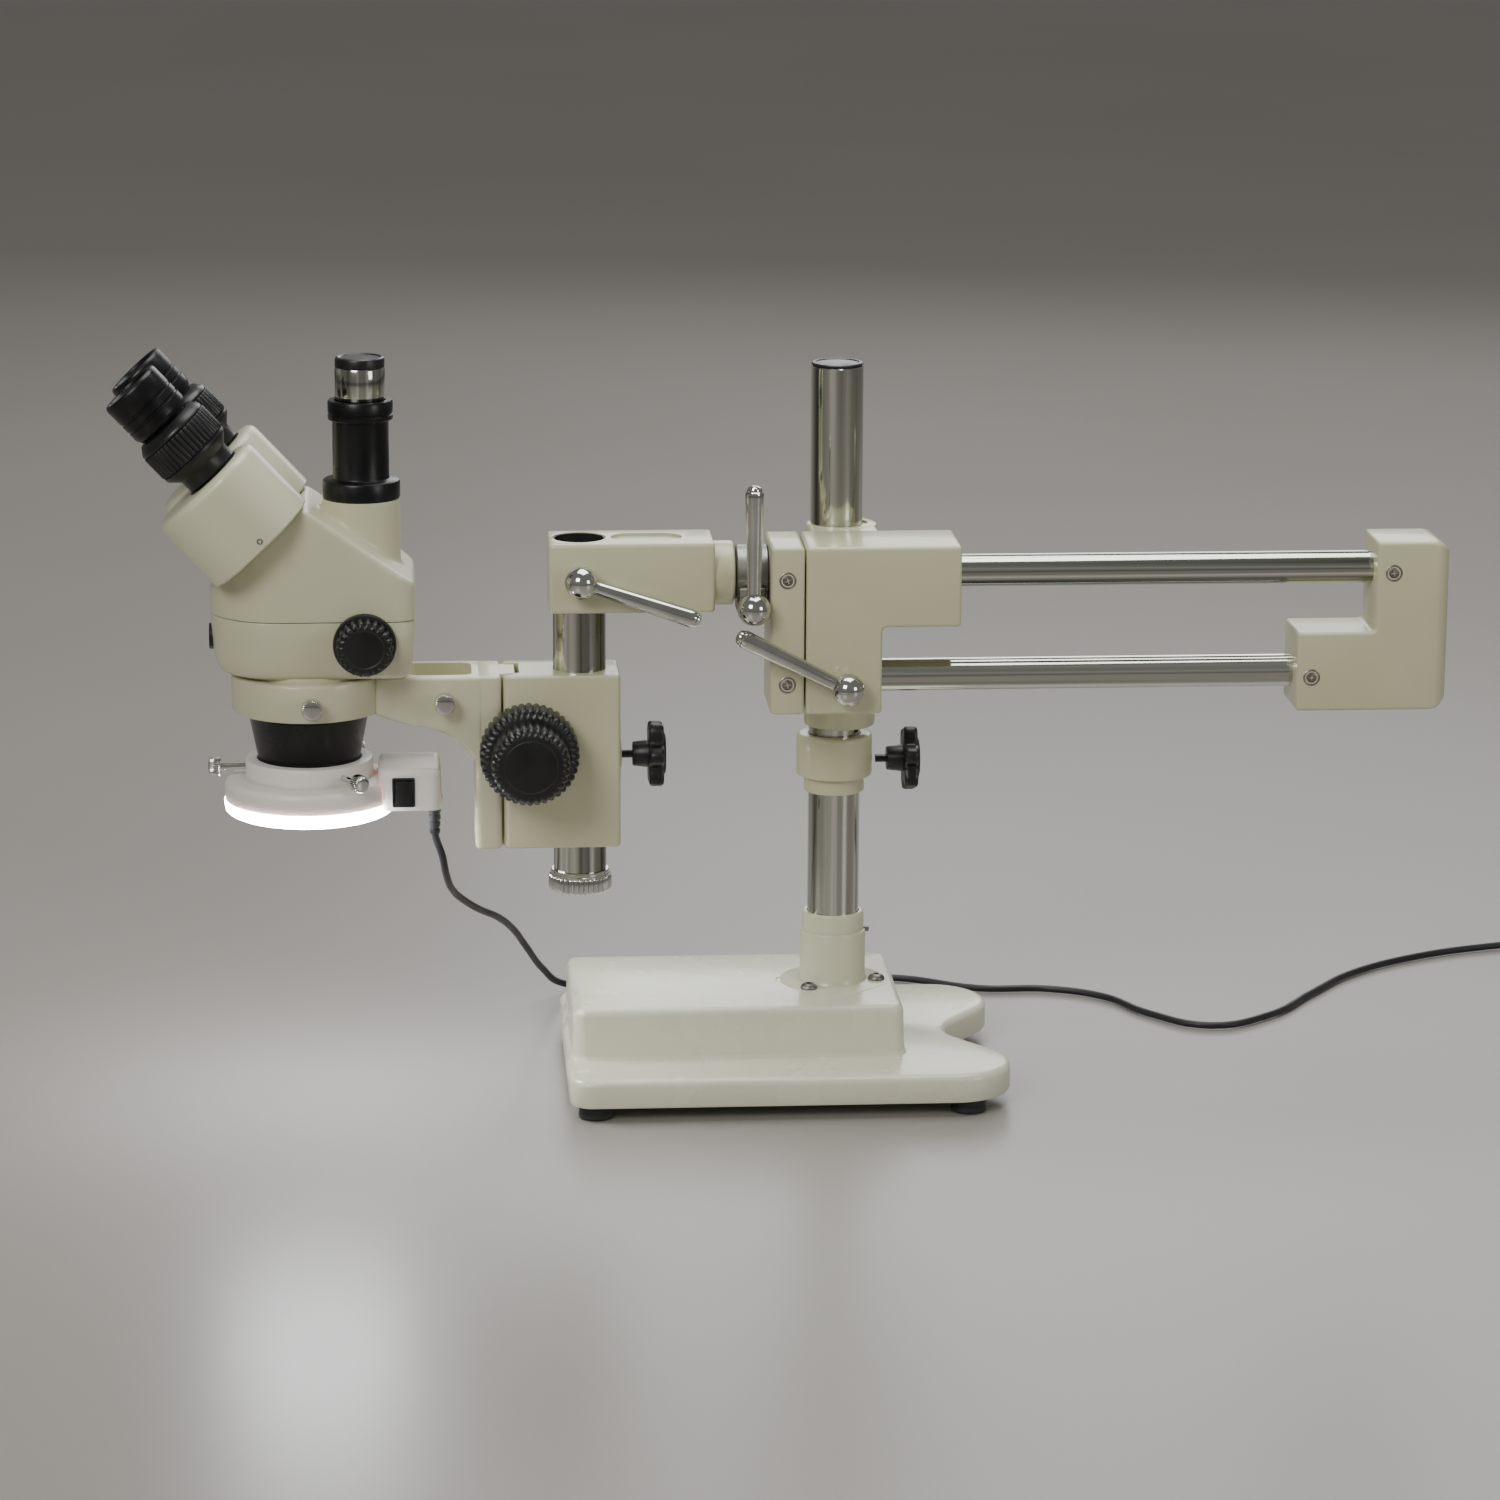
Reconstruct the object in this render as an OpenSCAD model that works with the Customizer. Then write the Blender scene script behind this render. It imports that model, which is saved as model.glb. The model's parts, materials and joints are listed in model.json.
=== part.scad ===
// Trinocular stereo microscope on a double-tube boom stand with a ring light.
// Millimetres, +Z up. The desk is Z = 0. The boom runs along X, the head is at -X,
// and the eyepieces look towards -X. Y runs from the front of the stand to its back.

/* [Shown part] */
// one node's name, or all

/* [Base] */
// distance from the post axis to the left edge of the base
base_left = 168; // [160:1:190]
// depth of the base slab, front to back
base_depth = 204; // [196:1:240]
// thickness of the base slab
slab_height = 18; // [15:0.5:22]
// height of the rubber feet
foot_height = 8; // [6:0.5:12]
// length of the raised block on the slab
block_length = 205; // [190:1:210]
// depth of the raised block
block_depth = 126; // [116:1:140]
// height of the raised block
block_height = 31.5; // [28:0.5:40]
// radius of the two lobes at the right end
lobe_radius = 36; // [33:0.5:40]
// radius of the notch between the lobes
notch_radius = 30; // [26:0.5:34]

/* [Post] */
// diameter of the post and of the focus bar
post_d = 32; // [30:0.5:33]
// height of the post top above the desk
post_top = 448; // [420:1:540]
// height of the post socket above the block
socket_height = 45.5; // [38:0.5:55]
// outer diameter of the safety collar
collar_d = 47; // [44:0.5:52]
// height of the wide part of the safety collar
collar_height = 26.5; // [22:0.5:28]
// height of the collar bottom above the desk
collar_z = 180; // [172:1:182]

/* [Boom] */
// distance from the post axis forward to the boom tubes
boom_forward = 52.5; // [50:0.5:60]
// diameter of the boom tubes
tube_d = 20; // [18:0.5:22]
// height of the upper tube axis
tube_upper_z = 328.5; // [324:0.5:340]
// spacing of the two tubes
tube_spacing = 64; // [58:0.5:66]
// depth of the boom housing and front plate
housing_depth = 54; // [50:0.5:60]
// right end of the housing at the upper tube
housing_right = 69; // [60:1:80]
// right end of the housing at the lower tube
housing_low_right = 21.5; // [18:0.5:26]
// left face of the end block at the upper tube
end_left = 322; // [300:1:380]
// width of the end block at the upper tube
end_width = 45.5; // [40:0.5:55]
// depth of the end block
end_depth = 45; // [40:0.5:52]
// thickness of the front plate
plate_width = 20.5; // [18:0.5:24]

/* [Arm] */
// distance from the front plate to the focus bar
bar_reach = 113.7; // [112:0.1:125]
// height of the swivel arm casting
arm_height = 42.5; // [42:0.5:46]
// depth of the swivel arm casting
arm_depth = 46; // [44:0.5:50]
// length of the focus bar below the arm
bar_drop = 175; // [165:1:200]
// length of the lever handles
lever_length = 70; // [50:1:75]
// diameter of the lever balls
lever_ball_d = 20; // [16:0.5:22]
// outer diameter of the star knobs
star_d = 42.5; // [34:0.5:46]

/* [Focus mount] */
// width of the focus body
focus_width = 70.5; // [69:0.5:78]
// depth of the focus body
focus_depth = 47; // [46:0.5:52]
// height of the focus body and slide
focus_height = 107; // [95:1:112]
// diameter of the focus knobs
focus_knob_d = 60; // [48:1:64]
// distance from the focus bar to the optical axis
bar_to_axis = 163.4; // [163:0.1:175]
// outer diameter of the head ring
ring_d = 92; // [90:0.5:96]
// inner diameter of the head ring
ring_bore = 76; // [74:0.5:80]

/* [Head] */
// depth of the head body
head_depth = 86; // [84:1:94]
// length of the head body
head_length = 123; // [121:1:130]
// height of the lower body shell
lower_height = 36; // [34:0.5:44]
// angle of the eyepieces above horizontal
eye_angle = 47; // [44:0.5:50]
// distance between the two eyepieces
eye_spacing = 65; // [63:0.5:72]
// length of the eyepiece pods
pod_length = 50; // [44:0.5:58]
// diameter of the dioptre rings
dioptre_d = 47; // [42:0.5:48]
// diameter of the eyecups
eyecup_d = 38.5; // [34:0.5:41]
// diameter of the zoom knobs
zoom_knob_d = 34; // [28:0.5:36]
// height of the camera tube
camera_tube_height = 36; // [28:0.5:60]

/* [Ring light] */
// outer diameter of the ring light
light_d = 102; // [98:1:112]
// height of the ring light body
light_height = 17; // [15:0.5:22]
// length of the switch box beyond the ring centre
light_box_reach = 79.5; // [76:0.5:84]

/* [Lead] */
// diameter of the mains lead
lead_d = 4.6; // [4:0.1:6]

/* [Hidden] */
$fn = 48;

// running clearance on a radius, and the gap between neighbouring castings
run = 0.04;
gap = 0.3;
// working frame: post axis at X = Y = 0
by = -boom_forward;
post_r = post_d / 2;
base_cy = -5;
base_back = base_cy + base_depth / 2;
base_front = base_cy - base_depth / 2;
slab_top = foot_height + slab_height;
block_top = slab_top + block_height;
block_left = -(base_left - 3);
block_right = block_left + block_length;
lobe_x = 68;
lobe_off = base_depth / 2 - lobe_radius;
notch_x = lobe_x + 33;
foot_r = 11;
socket_top = block_top + socket_height;
post_bottom = 34;
flange_r = post_r + 17;
bolt_r = post_r + 11.5;
collar_top = collar_z + 10 + collar_height;
// boom
tube_r = tube_d / 2;
tube_lower_z = tube_upper_z - tube_spacing;
housing_top = tube_upper_z + 20;
housing_bottom = tube_lower_z - 18.5;
housing_step = housing_bottom + 53;
housing_left = -24.5;
front_y = by - housing_depth / 2;
back_y = by + housing_depth / 2;
sleeve_bottom = housing_bottom - 24;
bush_r = tube_r + 4.5;
plate_right = housing_left - 1;
plate_left = plate_right - plate_width;
end_right = end_left + end_width;
end_low_left = end_left - (housing_right - housing_low_right);
end_front = by - end_depth / 2;
end_back = by + end_depth / 2;
end_bottom = tube_lower_z - 21;
end_top = tube_upper_z + 19;
end_step = end_bottom + 48.7;
// arm and bar
bar_x = plate_left - bar_reach;
arm_left = bar_x - post_r - 2.8;
arm_right = plate_left - 33;
arm_bottom = tube_upper_z - 20;
arm_top = arm_bottom + arm_height;
arm_front = by - arm_depth / 2;
arm_back = by + arm_depth / 2;
bar_bottom = arm_bottom - bar_drop;
bar_top = arm_top - 9;
// focus mount
fb_right = bar_x + 24;
fb_left = fb_right - focus_width;
fb_bottom = bar_bottom + 30.5;
fb_top = fb_bottom + focus_height;
fb_front = by - focus_depth / 2;
fb_back = by + focus_depth / 2;
pinion_x = fb_left + 15;
pinion_z = fb_bottom + 63;
slide_right = fb_left - gap - 1;
slide_left = slide_right - 16;
rail_in = fb_left + 7;
rack_in = rail_in + 2.2;
axis_x = bar_x - bar_to_axis;
ring_top = fb_top;
ring_bottom = ring_top - 23;
// head
half_w = head_depth / 2;
head_left = axis_x - 58;
head_right = head_left + head_length;
front_c = head_left + half_w;
head_bottom = ring_top + 2;
seam_z = head_bottom + lower_height;
tilt = 90 - eye_angle;
pod_x = axis_x - 25.5;
pod_z = seam_z + 46;
pod_tall = 74;
pod_wide = eye_spacing - 6;
eye_off = 9;
eye_end = pod_length + 71;
cam_x = axis_x + 33.5;
tower_top = seam_z + 67.6;
port_top = tower_top + 11.3 + camera_tube_height;
sleeve_top = port_top + 12 + 19.5;
zoom_x = axis_x + 34.5;
zoom_z = head_bottom + 23;
nose_top = ring_bottom + 1.7;
cone_bottom = nose_top - 32;
fit_bottom = cone_bottom - 11.5;
cone_r1 = 30.5;
cone_r2 = 36.5;
// ring light
light_z = cone_bottom - 28.5;
light_top = light_z + light_height;
hub_top = light_top + 12;
hub_r = 38.5;
box_right = axis_x + light_box_reach;
box_front = by - 27.5;
box_back = by + 22.5;
gland_x = box_right - 4.2;
gland_y = box_back - 9;
lead_r = lead_d / 2;
// overall sizes and the shift that centres the part
tip_x = pod_x + eye_off * cos(tilt) - eye_end * sin(tilt) - eyecup_d / 2 * cos(tilt);
far_y = max(base_back, by + 75);
near_y = min(base_front, by - 75);
ox = -(tip_x + end_right) / 2;
oy = -(near_y + far_y) / 2;
echo(ox = ox, oy = oy);

// ---- small shapes ----
// rounded rectangle from corner to corner
module rrect(x0, x1, y0, y1, r) {
  translate([x0 + r, y0]) square([x1 - x0 - 2 * r, y1 - y0]);
  translate([x0, y0 + r]) square([x1 - x0, y1 - y0 - 2 * r]);
  for (x = [x0 + r, x1 - r]) for (y = [y0 + r, y1 - r]) translate([x, y]) circle(r = r);
}
// box from corner to corner
module box(x0, x1, y0, y1, z0, z1) {
  translate([x0, y0, z0]) cube([x1 - x0, y1 - y0, z1 - z0]);
}
// round bar along X from x0 to x1
module xbar(x0, x1, y, z, r) {
  translate([x0, y, z]) rotate([0, 90, 0]) cylinder(h = x1 - x0, r = r);
}
// round bar along Y from y0 to y1
module ybar(y0, y1, x, z, r) {
  translate([x, y1, z]) rotate([90, 0, 0]) cylinder(h = y1 - y0, r = r);
}
// six-lobed star knob along +Z: stud below 0, hub, then star
module star_knob(stud, hub, star) {
  translate([0, 0, -stud]) cylinder(h = stud + 1, r = 2.5);
  cylinder(h = hub, r1 = 7, r2 = 8.5);
  translate([0, 0, hub]) linear_extrude(star) {
    circle(r = star_d / 2 - 5);
    for (a = [0:60:300]) rotate(a) translate([star_d / 2 - 6, 0]) circle(r = 6);
  }
  translate([0, 0, hub + star]) cylinder(h = 1.2, r1 = star_d / 2 - 7, r2 = star_d / 2 - 9);
}
// lever along the front: stud towards +Y, ball in front of face_y, handle at angle
module lever(x, z, face_y, stud, angle) {
  translate([x, face_y - 12, z]) {
    rotate([0, 0, -90]) sphere(r = lever_ball_d / 2);
    rotate([-90, 0, 0]) cylinder(h = 11.9, r = 5);
    rotate([-90, 0, 0]) cylinder(h = 12 + stud, r = 2.9);
    rotate([0, 90 - angle, 0]) rotate_extrude() polygon([[0, 0], [4.2, 0],
      [5.6, lever_length], [5, lever_length + 2.6], [3.4, lever_length + 4.6],
      [0, lever_length + 5.4]]);
  }
}
// moves children to the seam of a pod, +Z along the eyepiece
module at_pod(side) {
  translate([pod_x, by + side * eye_spacing / 2, pod_z]) rotate([0, -tilt, 0]) children();
}
// plan outline of the head body, drawn in from the full size by inset
module head_plan(inset) {
  translate([front_c, by]) circle(r = half_w - inset);
  rrect(front_c - 14, head_right - inset, by - half_w + inset, by + half_w - inset, 12);
}
// radial thumbscrew on the ring light, head outwards
module ring_screw(angle) {
  translate([axis_x, by, light_top + 5.9]) rotate([0, 0, angle]) rotate([0, 90, 0]) {
    translate([0, 0, cone_r1 + 0.1]) cylinder(h = 14, r = 2);
    translate([0, 0, hub_r + 4]) cylinder(h = 18, r = 5.5);
  }
}

// ---- stand ----
module base_casting() {
  color([0.86, 0.84, 0.76]) difference() {
    union() {
      translate([0, 0, foot_height]) linear_extrude(slab_height) difference() {
        union() {
          rrect(-base_left, lobe_x, base_front, base_back, 14);
          translate([lobe_x - 20, base_front]) square([20, base_depth]);
          polygon([[lobe_x - 20, base_cy - lobe_off], lobe_touch(-1), notch_touch(-1),
            notch_touch(1), lobe_touch(1), [lobe_x - 20, base_cy + lobe_off]]);
          for (s = [-1, 1]) translate([lobe_x, base_cy + s * lobe_off]) circle(r = lobe_radius);
        }
        translate([notch_x, base_cy]) circle(r = notch_radius);
      }
      translate([0, 0, slab_top - 1]) linear_extrude(block_height + 1)
        rrect(block_left, block_right, -block_depth / 2, block_depth / 2, 9);
    }
    translate([0, 0, post_bottom - 4]) cylinder(h = 200, r = post_r + 3.1);
    translate([0, 0, block_top - 6]) cylinder(h = 20, r = flange_r + 0.1);
    for (a = [-127, -7, 113]) rotate(a) translate([bolt_r, 0, block_top - 20])
      cylinder(h = 30, r = 2.55);
    for (p = foot_points()) translate([p[0], p[1], foot_height - 1]) cylinder(h = 9, r = 3.05);
  }
}
// where the straight between a lobe and the notch touches each of them
touch_a = atan2(lobe_off, notch_x - lobe_x)
  - acos((lobe_radius + notch_radius) / norm([lobe_off, notch_x - lobe_x]));
function lobe_touch(s) = [lobe_x + lobe_radius * cos(touch_a),
  base_cy + s * (lobe_off - lobe_radius * sin(touch_a))];
function notch_touch(s) = [notch_x - notch_radius * cos(touch_a),
  base_cy + s * notch_radius * sin(touch_a)];
function foot_points() = [[-base_left + 16, base_front + 13.5], [-base_left + 16, base_back - 13.5],
  [lobe_x + 8, base_front + 14], [lobe_x + 8, base_back - 14]];
module base_feet() {
  color([0.08, 0.08, 0.08]) for (p = foot_points()) translate([p[0], p[1], 0]) {
    cylinder(h = foot_height, r = foot_r);
    translate([0, 0, foot_height - 0.5]) cylinder(h = 8, r = 3);
  }
}
module post_socket() {
  color([0.86, 0.84, 0.76]) difference() {
    union() {
      translate([0, 0, post_bottom - 4]) cylinder(h = block_top - post_bottom, r = post_r + 3);
      translate([0, 0, block_top - 6]) cylinder(h = 6, r = flange_r);
      translate([0, 0, block_top - 1]) cylinder(h = socket_height - 11, r = post_r + 4.4);
      translate([0, 0, block_top - 1]) cylinder(h = socket_height + 1, r = post_r + 3.2);
    }
    translate([0, 0, post_bottom]) cylinder(h = 200, r = post_r + run);
    for (a = [-127, -7, 113]) rotate(a) translate([bolt_r, 0, block_top - 20])
      cylinder(h = 30, r = 2.6);
    xbar(10, 40, 0, socket_top - 13, 2.05);
  }
}
module socket_screws() {
  color([0.75, 0.75, 0.76]) {
    for (a = [-127, -7, 113]) rotate(a) translate([bolt_r, 0, 0]) {
      translate([0, 0, block_top - 16]) cylinder(h = 17, r = 2.5);
      translate([0, 0, block_top]) cylinder(h = 1.6, r = 4.8);
      translate([0, 0, block_top + 1.6]) cylinder(h = 2, r1 = 4.8, r2 = 2.6);
    }
    xbar(post_r + 0.1, post_r + 6.6, 0, socket_top - 13, 2);
  }
}
module post() {
  color([0.8, 0.8, 0.82]) translate([0, 0, post_bottom]) difference() {
    cylinder(h = post_top - post_bottom - 2.2, r = post_r);
    translate([0, 0, -1]) cylinder(h = post_top, r = post_r - 3.5);
  }
}
module post_cap() {
  color([0.06, 0.06, 0.06]) {
    translate([0, 0, post_top - 2]) cylinder(h = 2, r = post_r - 0.2);
    translate([0, 0, post_top - 14]) cylinder(h = 13, r = post_r - 3.6);
  }
}
module safety_collar() {
  color([0.8, 0.77, 0.66]) difference() {
    union() {
      translate([0, 0, collar_z]) cylinder(h = 11, r = post_r + 2.6);
      translate([0, 0, collar_z + 10]) cylinder(h = collar_height, r = collar_d / 2);
    }
    translate([0, 0, collar_z - 1]) cylinder(h = 60, r = post_r + run);
    xbar(10, 40, 0, collar_z + 19.5, 2.6);
  }
}
module collar_knob() {
  color([0.05, 0.05, 0.05])
    translate([collar_d / 2 + 9, 0, collar_z + 19.5]) rotate([0, 90, 0])
      star_knob(collar_d / 2 + 8.5 - post_r, 10, 8.8);
}

// ---- boom ----
module boom_housing() {
  color([0.86, 0.83, 0.71]) difference() {
    union() {
      box(housing_left, housing_low_right, front_y, back_y, housing_bottom, housing_top);
      box(housing_left, housing_right, front_y, back_y, housing_step, housing_top);
      box(-18, 24, back_y - 1, 2, housing_bottom, housing_top);
      translate([3, 0, sleeve_bottom]) cylinder(h = housing_top - sleeve_bottom, r = post_r + 6);
    }
    translate([0, 0, 0]) cylinder(h = 600, r = post_r + run);
    for (z = [tube_lower_z, tube_upper_z]) xbar(-60, 120, by, z, tube_r + 0.6);
    bush_cuts(bush_r);
    ybar(front_y - 1, by, 0, tube_lower_z - 0.7, 3);
  }
}
// the four bush spaces: two at each tube
module bush_cuts(r) {
  xbar(housing_left - 1, housing_left + 26, by, tube_upper_z, r);
  xbar(housing_right - 26, housing_right + 1, by, tube_upper_z, r);
  xbar(housing_left - 1, housing_left + 17, by, tube_lower_z, r);
  xbar(housing_low_right - 17, housing_low_right + 1, by, tube_lower_z, r);
}
module boom_bearings() {
  color([0.72, 0.6, 0.35]) difference() {
    union() {
      xbar(housing_left + 0.5, housing_left + 26, by, tube_upper_z, bush_r);
      xbar(housing_right - 26, housing_right - 0.5, by, tube_upper_z, bush_r);
      xbar(housing_left + 0.5, housing_left + 17, by, tube_lower_z, bush_r);
      xbar(housing_low_right - 17, housing_low_right - 0.5, by, tube_lower_z, bush_r);
    }
    for (z = [tube_lower_z, tube_upper_z]) xbar(-60, 120, by, z, tube_r + run);
  }
}
module boom_lever() {
  color([0.8, 0.8, 0.82])
    lever(0, tube_lower_z - 0.7, front_y, front_y * -1 + by - tube_r - 0.2, 153);
}
module boom_tubes() {
  color([0.8, 0.8, 0.82]) difference() {
    union() {
      xbar(plate_left + 2, end_right - 9, by, tube_upper_z, tube_r);
      xbar(plate_left + 2, end_right - 9, by, tube_lower_z, tube_r);
    }
    for (z = [tube_lower_z, tube_upper_z]) xbar(-200, 600, by, z, tube_r - 2.5);
  }
}
module front_plate() {
  color([0.88, 0.85, 0.74]) difference() {
    box(plate_left, plate_right, front_y, back_y, housing_bottom, housing_top);
    for (z = [tube_lower_z, tube_upper_z]) xbar(plate_left + 2, 0, by, z, tube_r + 0.02);
    xbar(plate_left - 5, 0, by, tube_upper_z, tube_r - 2.55);
    for (z = [tube_lower_z, tube_upper_z])
      ybar(front_y - 1, by - tube_r + 1, (plate_left + plate_right) / 2, z, 4.05);
  }
}
module tube_set_screws() {
  px = (plate_left + plate_right) / 2;
  color([0.35, 0.34, 0.32]) {
    for (z = [tube_lower_z, tube_upper_z]) set_screw(px, front_y, z);
    set_screw(end_left + 10, end_front, tube_upper_z);
    set_screw(end_low_left + 9, end_front, tube_lower_z);
  }
}
module set_screw(x, y, z) {
  difference() {
    ybar(y - 0.6, by - tube_r - 0.05, x, z, 4);
    ybar(y - 2, y + 2, x, z, 2);
  }
}
module end_block() {
  color([0.87, 0.84, 0.73]) difference() {
    union() {
      translate([0, 0, end_bottom]) linear_extrude(end_step - end_bottom)
        end_plan(end_low_left);
      translate([0, 0, end_step - 1]) linear_extrude(end_top - end_step + 1)
        end_plan(end_left);
    }
    for (z = [tube_lower_z, tube_upper_z]) xbar(100, end_right - 9, by, z, tube_r + 0.02);
    ybar(end_front - 1, by - tube_r + 1, end_left + 10, tube_upper_z, 4.05);
    ybar(end_front - 1, by - tube_r + 1, end_low_left + 9, tube_lower_z, 4.05);
  }
}
module end_plan(x0) {
  rrect(x0 + 2, end_right, end_front, end_back, 11);
  translate([x0, end_front + 2]) square([20, end_depth - 4]);
  translate([x0 + 2, end_front]) square([20, end_depth]);
  for (y = [end_front + 2, end_back - 2]) translate([x0 + 2, y]) circle(r = 2);
}
module pivot_shaft() {
  color([0.3, 0.29, 0.27]) difference() {
    union() {
      xbar(plate_left - 19.7, plate_left - 0.2, by, tube_upper_z, 17);
      xbar(plate_left - 78, plate_left - 10, by, tube_upper_z, 13);
      xbar(plate_left - 5, plate_left + 16, by, tube_upper_z, tube_r - 2.6);
      box(plate_left - 18.5, plate_left - 2, by - 19, by + 19, tube_upper_z - 25,
        tube_upper_z - 6);
    }
    ybar(by - 30, by - 6, plate_left - 10.5, tube_upper_z - 16, 3);
  }
}

// ---- arm and bar ----
module swivel_arm() {
  color([0.87, 0.84, 0.73]) difference() {
    union() {
      translate([0, 0, arm_bottom]) linear_extrude(arm_height)
        rrect(arm_left, arm_right, arm_front, arm_back, 3);
      xbar(arm_right - 5, arm_right + 12.5, by, tube_upper_z, 19.5);
    }
    translate([bar_x, by, 0]) cylinder(h = 600, r = post_r + run);
    xbar(plate_left - 79, plate_left, by, tube_upper_z, 13 + run);
    ybar(arm_front - 1, by, bar_x, tube_upper_z + 1.5, 3);
    translate([0, 0, arm_top - 1.5]) linear_extrude(5)
      rrect(bar_x + 19, bar_x + 62, by - 12, by + 12, 11.9);
  }
}
module swivel_lever() {
  color([0.8, 0.8, 0.82])
    lever(plate_left - 10.5, tube_upper_z - 16, by - 22, 12, 90);
}
module arm_lever() {
  color([0.8, 0.8, 0.82])
    lever(bar_x, tube_upper_z + 1.5, arm_front, arm_depth / 2 - post_r - 0.2, -18.7);
}
module focus_bar() {
  color([0.8, 0.8, 0.82]) translate([bar_x, by, bar_bottom]) difference() {
    cylinder(h = bar_top - bar_bottom, r = post_r);
    translate([0, 0, 3]) cylinder(h = 400, r = post_r - 3.5);
  }
}
module bar_collar() {
  color([0.72, 0.72, 0.73]) translate([bar_x, by, bar_bottom]) difference() {
    translate([0, 0, -0.8]) cylinder(h = 13.3, r = post_r + 3.2);
    cylinder(h = 40, r = post_r + 0.03);
  }
}

// ---- focus mount ----
module focus_body() {
  color([0.84, 0.81, 0.7]) difference() {
    translate([0, 0, fb_bottom]) linear_extrude(focus_height)
      rrect(fb_left, fb_right, fb_front, fb_back, 4);
    translate([bar_x, by, 0]) cylinder(h = 600, r = post_r + run);
    box(fb_left - 5, rack_in + 0.8, by - 13.5, by + 13.5, 0, 600);
    ybar(fb_front - 5, fb_back + 5, pinion_x, pinion_z, 6);
    xbar(bar_x, fb_right + 5, by, pinion_z - 10, 2.6);
  }
}
module body_clamp_knob() {
  color([0.05, 0.05, 0.05])
    translate([fb_right + 8, by, pinion_z - 10]) rotate([0, 90, 0])
      star_knob(fb_right + 7.8 - bar_x - post_r, 9.5, 9.3);
}
module focus_pinion() {
  color([0.55, 0.55, 0.56]) {
    ybar(by - 66, by + 66, pinion_x, pinion_z, 4.5);
    for (s = [-1, 1]) ybar(by + s * 18.5 - 4.5, by + s * 18.5 + 4.5, pinion_x, pinion_z, 5.95);
    translate([pinion_x, by + 12, pinion_z]) rotate([90, 0, 0]) linear_extrude(24) {
      circle(r = 4.9);
      for (a = [0:30:330]) rotate(a) translate([4.5, -0.45]) square([1, 0.9]);
    }
  }
}
module focus_knobs() {
  color([0.05, 0.05, 0.05]) for (s = [-1, 1]) translate([pinion_x, by, pinion_z])
    rotate([s * 90, 0, 0]) difference() {
      union() {
        translate([0, 0, focus_depth / 2 + 0.5]) cylinder(h = 7, r = 15);
        translate([0, 0, focus_depth / 2 + 6]) cylinder(h = 3, r1 = focus_knob_d / 2 - 3,
          r2 = focus_knob_d / 2);
        translate([0, 0, focus_depth / 2 + 9]) cylinder(h = 17, r = focus_knob_d / 2);
        translate([0, 0, focus_depth / 2 + 26]) cylinder(h = 3, r1 = focus_knob_d / 2,
          r2 = focus_knob_d / 2 - 4);
        translate([0, 0, 52]) cylinder(h = 20, r = focus_knob_d / 2 - 6.3);
        translate([0, 0, 72]) cylinder(h = 3, r1 = focus_knob_d / 2 - 6.3,
          r2 = focus_knob_d / 2 - 9);
      }
      cylinder(h = 66.2, r = 4.52);
    }
}
module focus_slide() {
  color([0.84, 0.81, 0.7]) difference() {
    union() {
      translate([0, 0, fb_bottom]) linear_extrude(focus_height)
        rrect(slide_left, slide_right, fb_front, fb_back, 4);
      box(slide_right - 5, rail_in, by - 13.4, by + 13.4, fb_bottom, fb_top);
      translate([0, by + 24, 0]) rotate([90, 0, 0]) linear_extrude(48)
        polygon([[slide_left + 5, ring_top], [axis_x + 40, ring_top],
          [axis_x + 40, ring_bottom], [slide_left - 38, ring_bottom - 7],
          [slide_left - 14, ring_bottom - 12], [slide_left - 1, ring_bottom - 19],
          [slide_left + 5, ring_bottom - 40]]);
      translate([axis_x, by, ring_bottom]) cylinder(h = ring_top - ring_bottom, r = ring_d / 2);
    }
    translate([axis_x, by, 0]) cylinder(h = 600, r = ring_bore / 2 + run);
    translate([0, 0, ring_top - 17]) linear_extrude(40)
      rrect(slide_left - 40, slide_left + 6, by - 17, by + 17, 6);
    ybar(by - 40, by - 10, slide_left - 17.7, ring_top - 14.5, 2.05);
    ybar(by - 60, by - 30, axis_x + 3, ring_top - 12, 2.05);
  }
}
module focus_rack() {
  color([0.6, 0.6, 0.6]) difference() {
    box(rail_in, rack_in - 0.3, by - 6, by + 6, fb_bottom + 6, fb_top - 6);
    for (z = [fb_bottom + 9:5.5:fb_top - 9])
      box(rack_in - 1, rack_in + 1, by - 8, by + 8, z, z + 2.7);
  }
}
module thumb_screw(x, face_y, z, stud) {
  ybar(face_y - 3, face_y + stud, x, z, 2);
  ybar(face_y - 4, face_y - 0.4, x, z, 4.5);
  ybar(face_y - 12, face_y - 3.5, x, z, 6.4);
}
module head_screw_rear() {
  color([0.78, 0.78, 0.79]) thumb_screw(slide_left - 17.7, by - 24, ring_top - 14.5, 9);
}
module head_screw_front() {
  color([0.78, 0.78, 0.79]) thumb_screw(axis_x + 3, by - ring_d / 2, ring_top - 12, 7.8);
}

// ---- head ----
module head_lower() {
  color([0.85, 0.83, 0.73]) difference() {
    union() {
      translate([0, 0, head_bottom]) linear_extrude(4) head_plan(8);
      translate([0, 0, head_bottom + 3.9]) linear_extrude(4) head_plan(4);
      translate([0, 0, head_bottom + 7.8]) linear_extrude(lower_height - 7.8) head_plan(1);
      translate([axis_x, by, nose_top]) cylinder(h = 20 + head_bottom - nose_top,
        r = ring_bore / 2);
    }
    translate([axis_x, by, nose_top - 5]) cylinder(h = 80, r = 31);
    translate([0, 0, head_bottom + 8]) linear_extrude(80) head_plan(8);
    ybar(by - 80, by + 80, zoom_x, zoom_z, 4 + run);
    xbar(head_left - 5, head_left + 2.4, by, zoom_z - 3, 8);
  }
}
module blank_badge() {
  color([0.05, 0.05, 0.05]) xbar(head_left - 0.6, head_left + 2.3, by, zoom_z - 3, 7.9);
}
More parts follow.
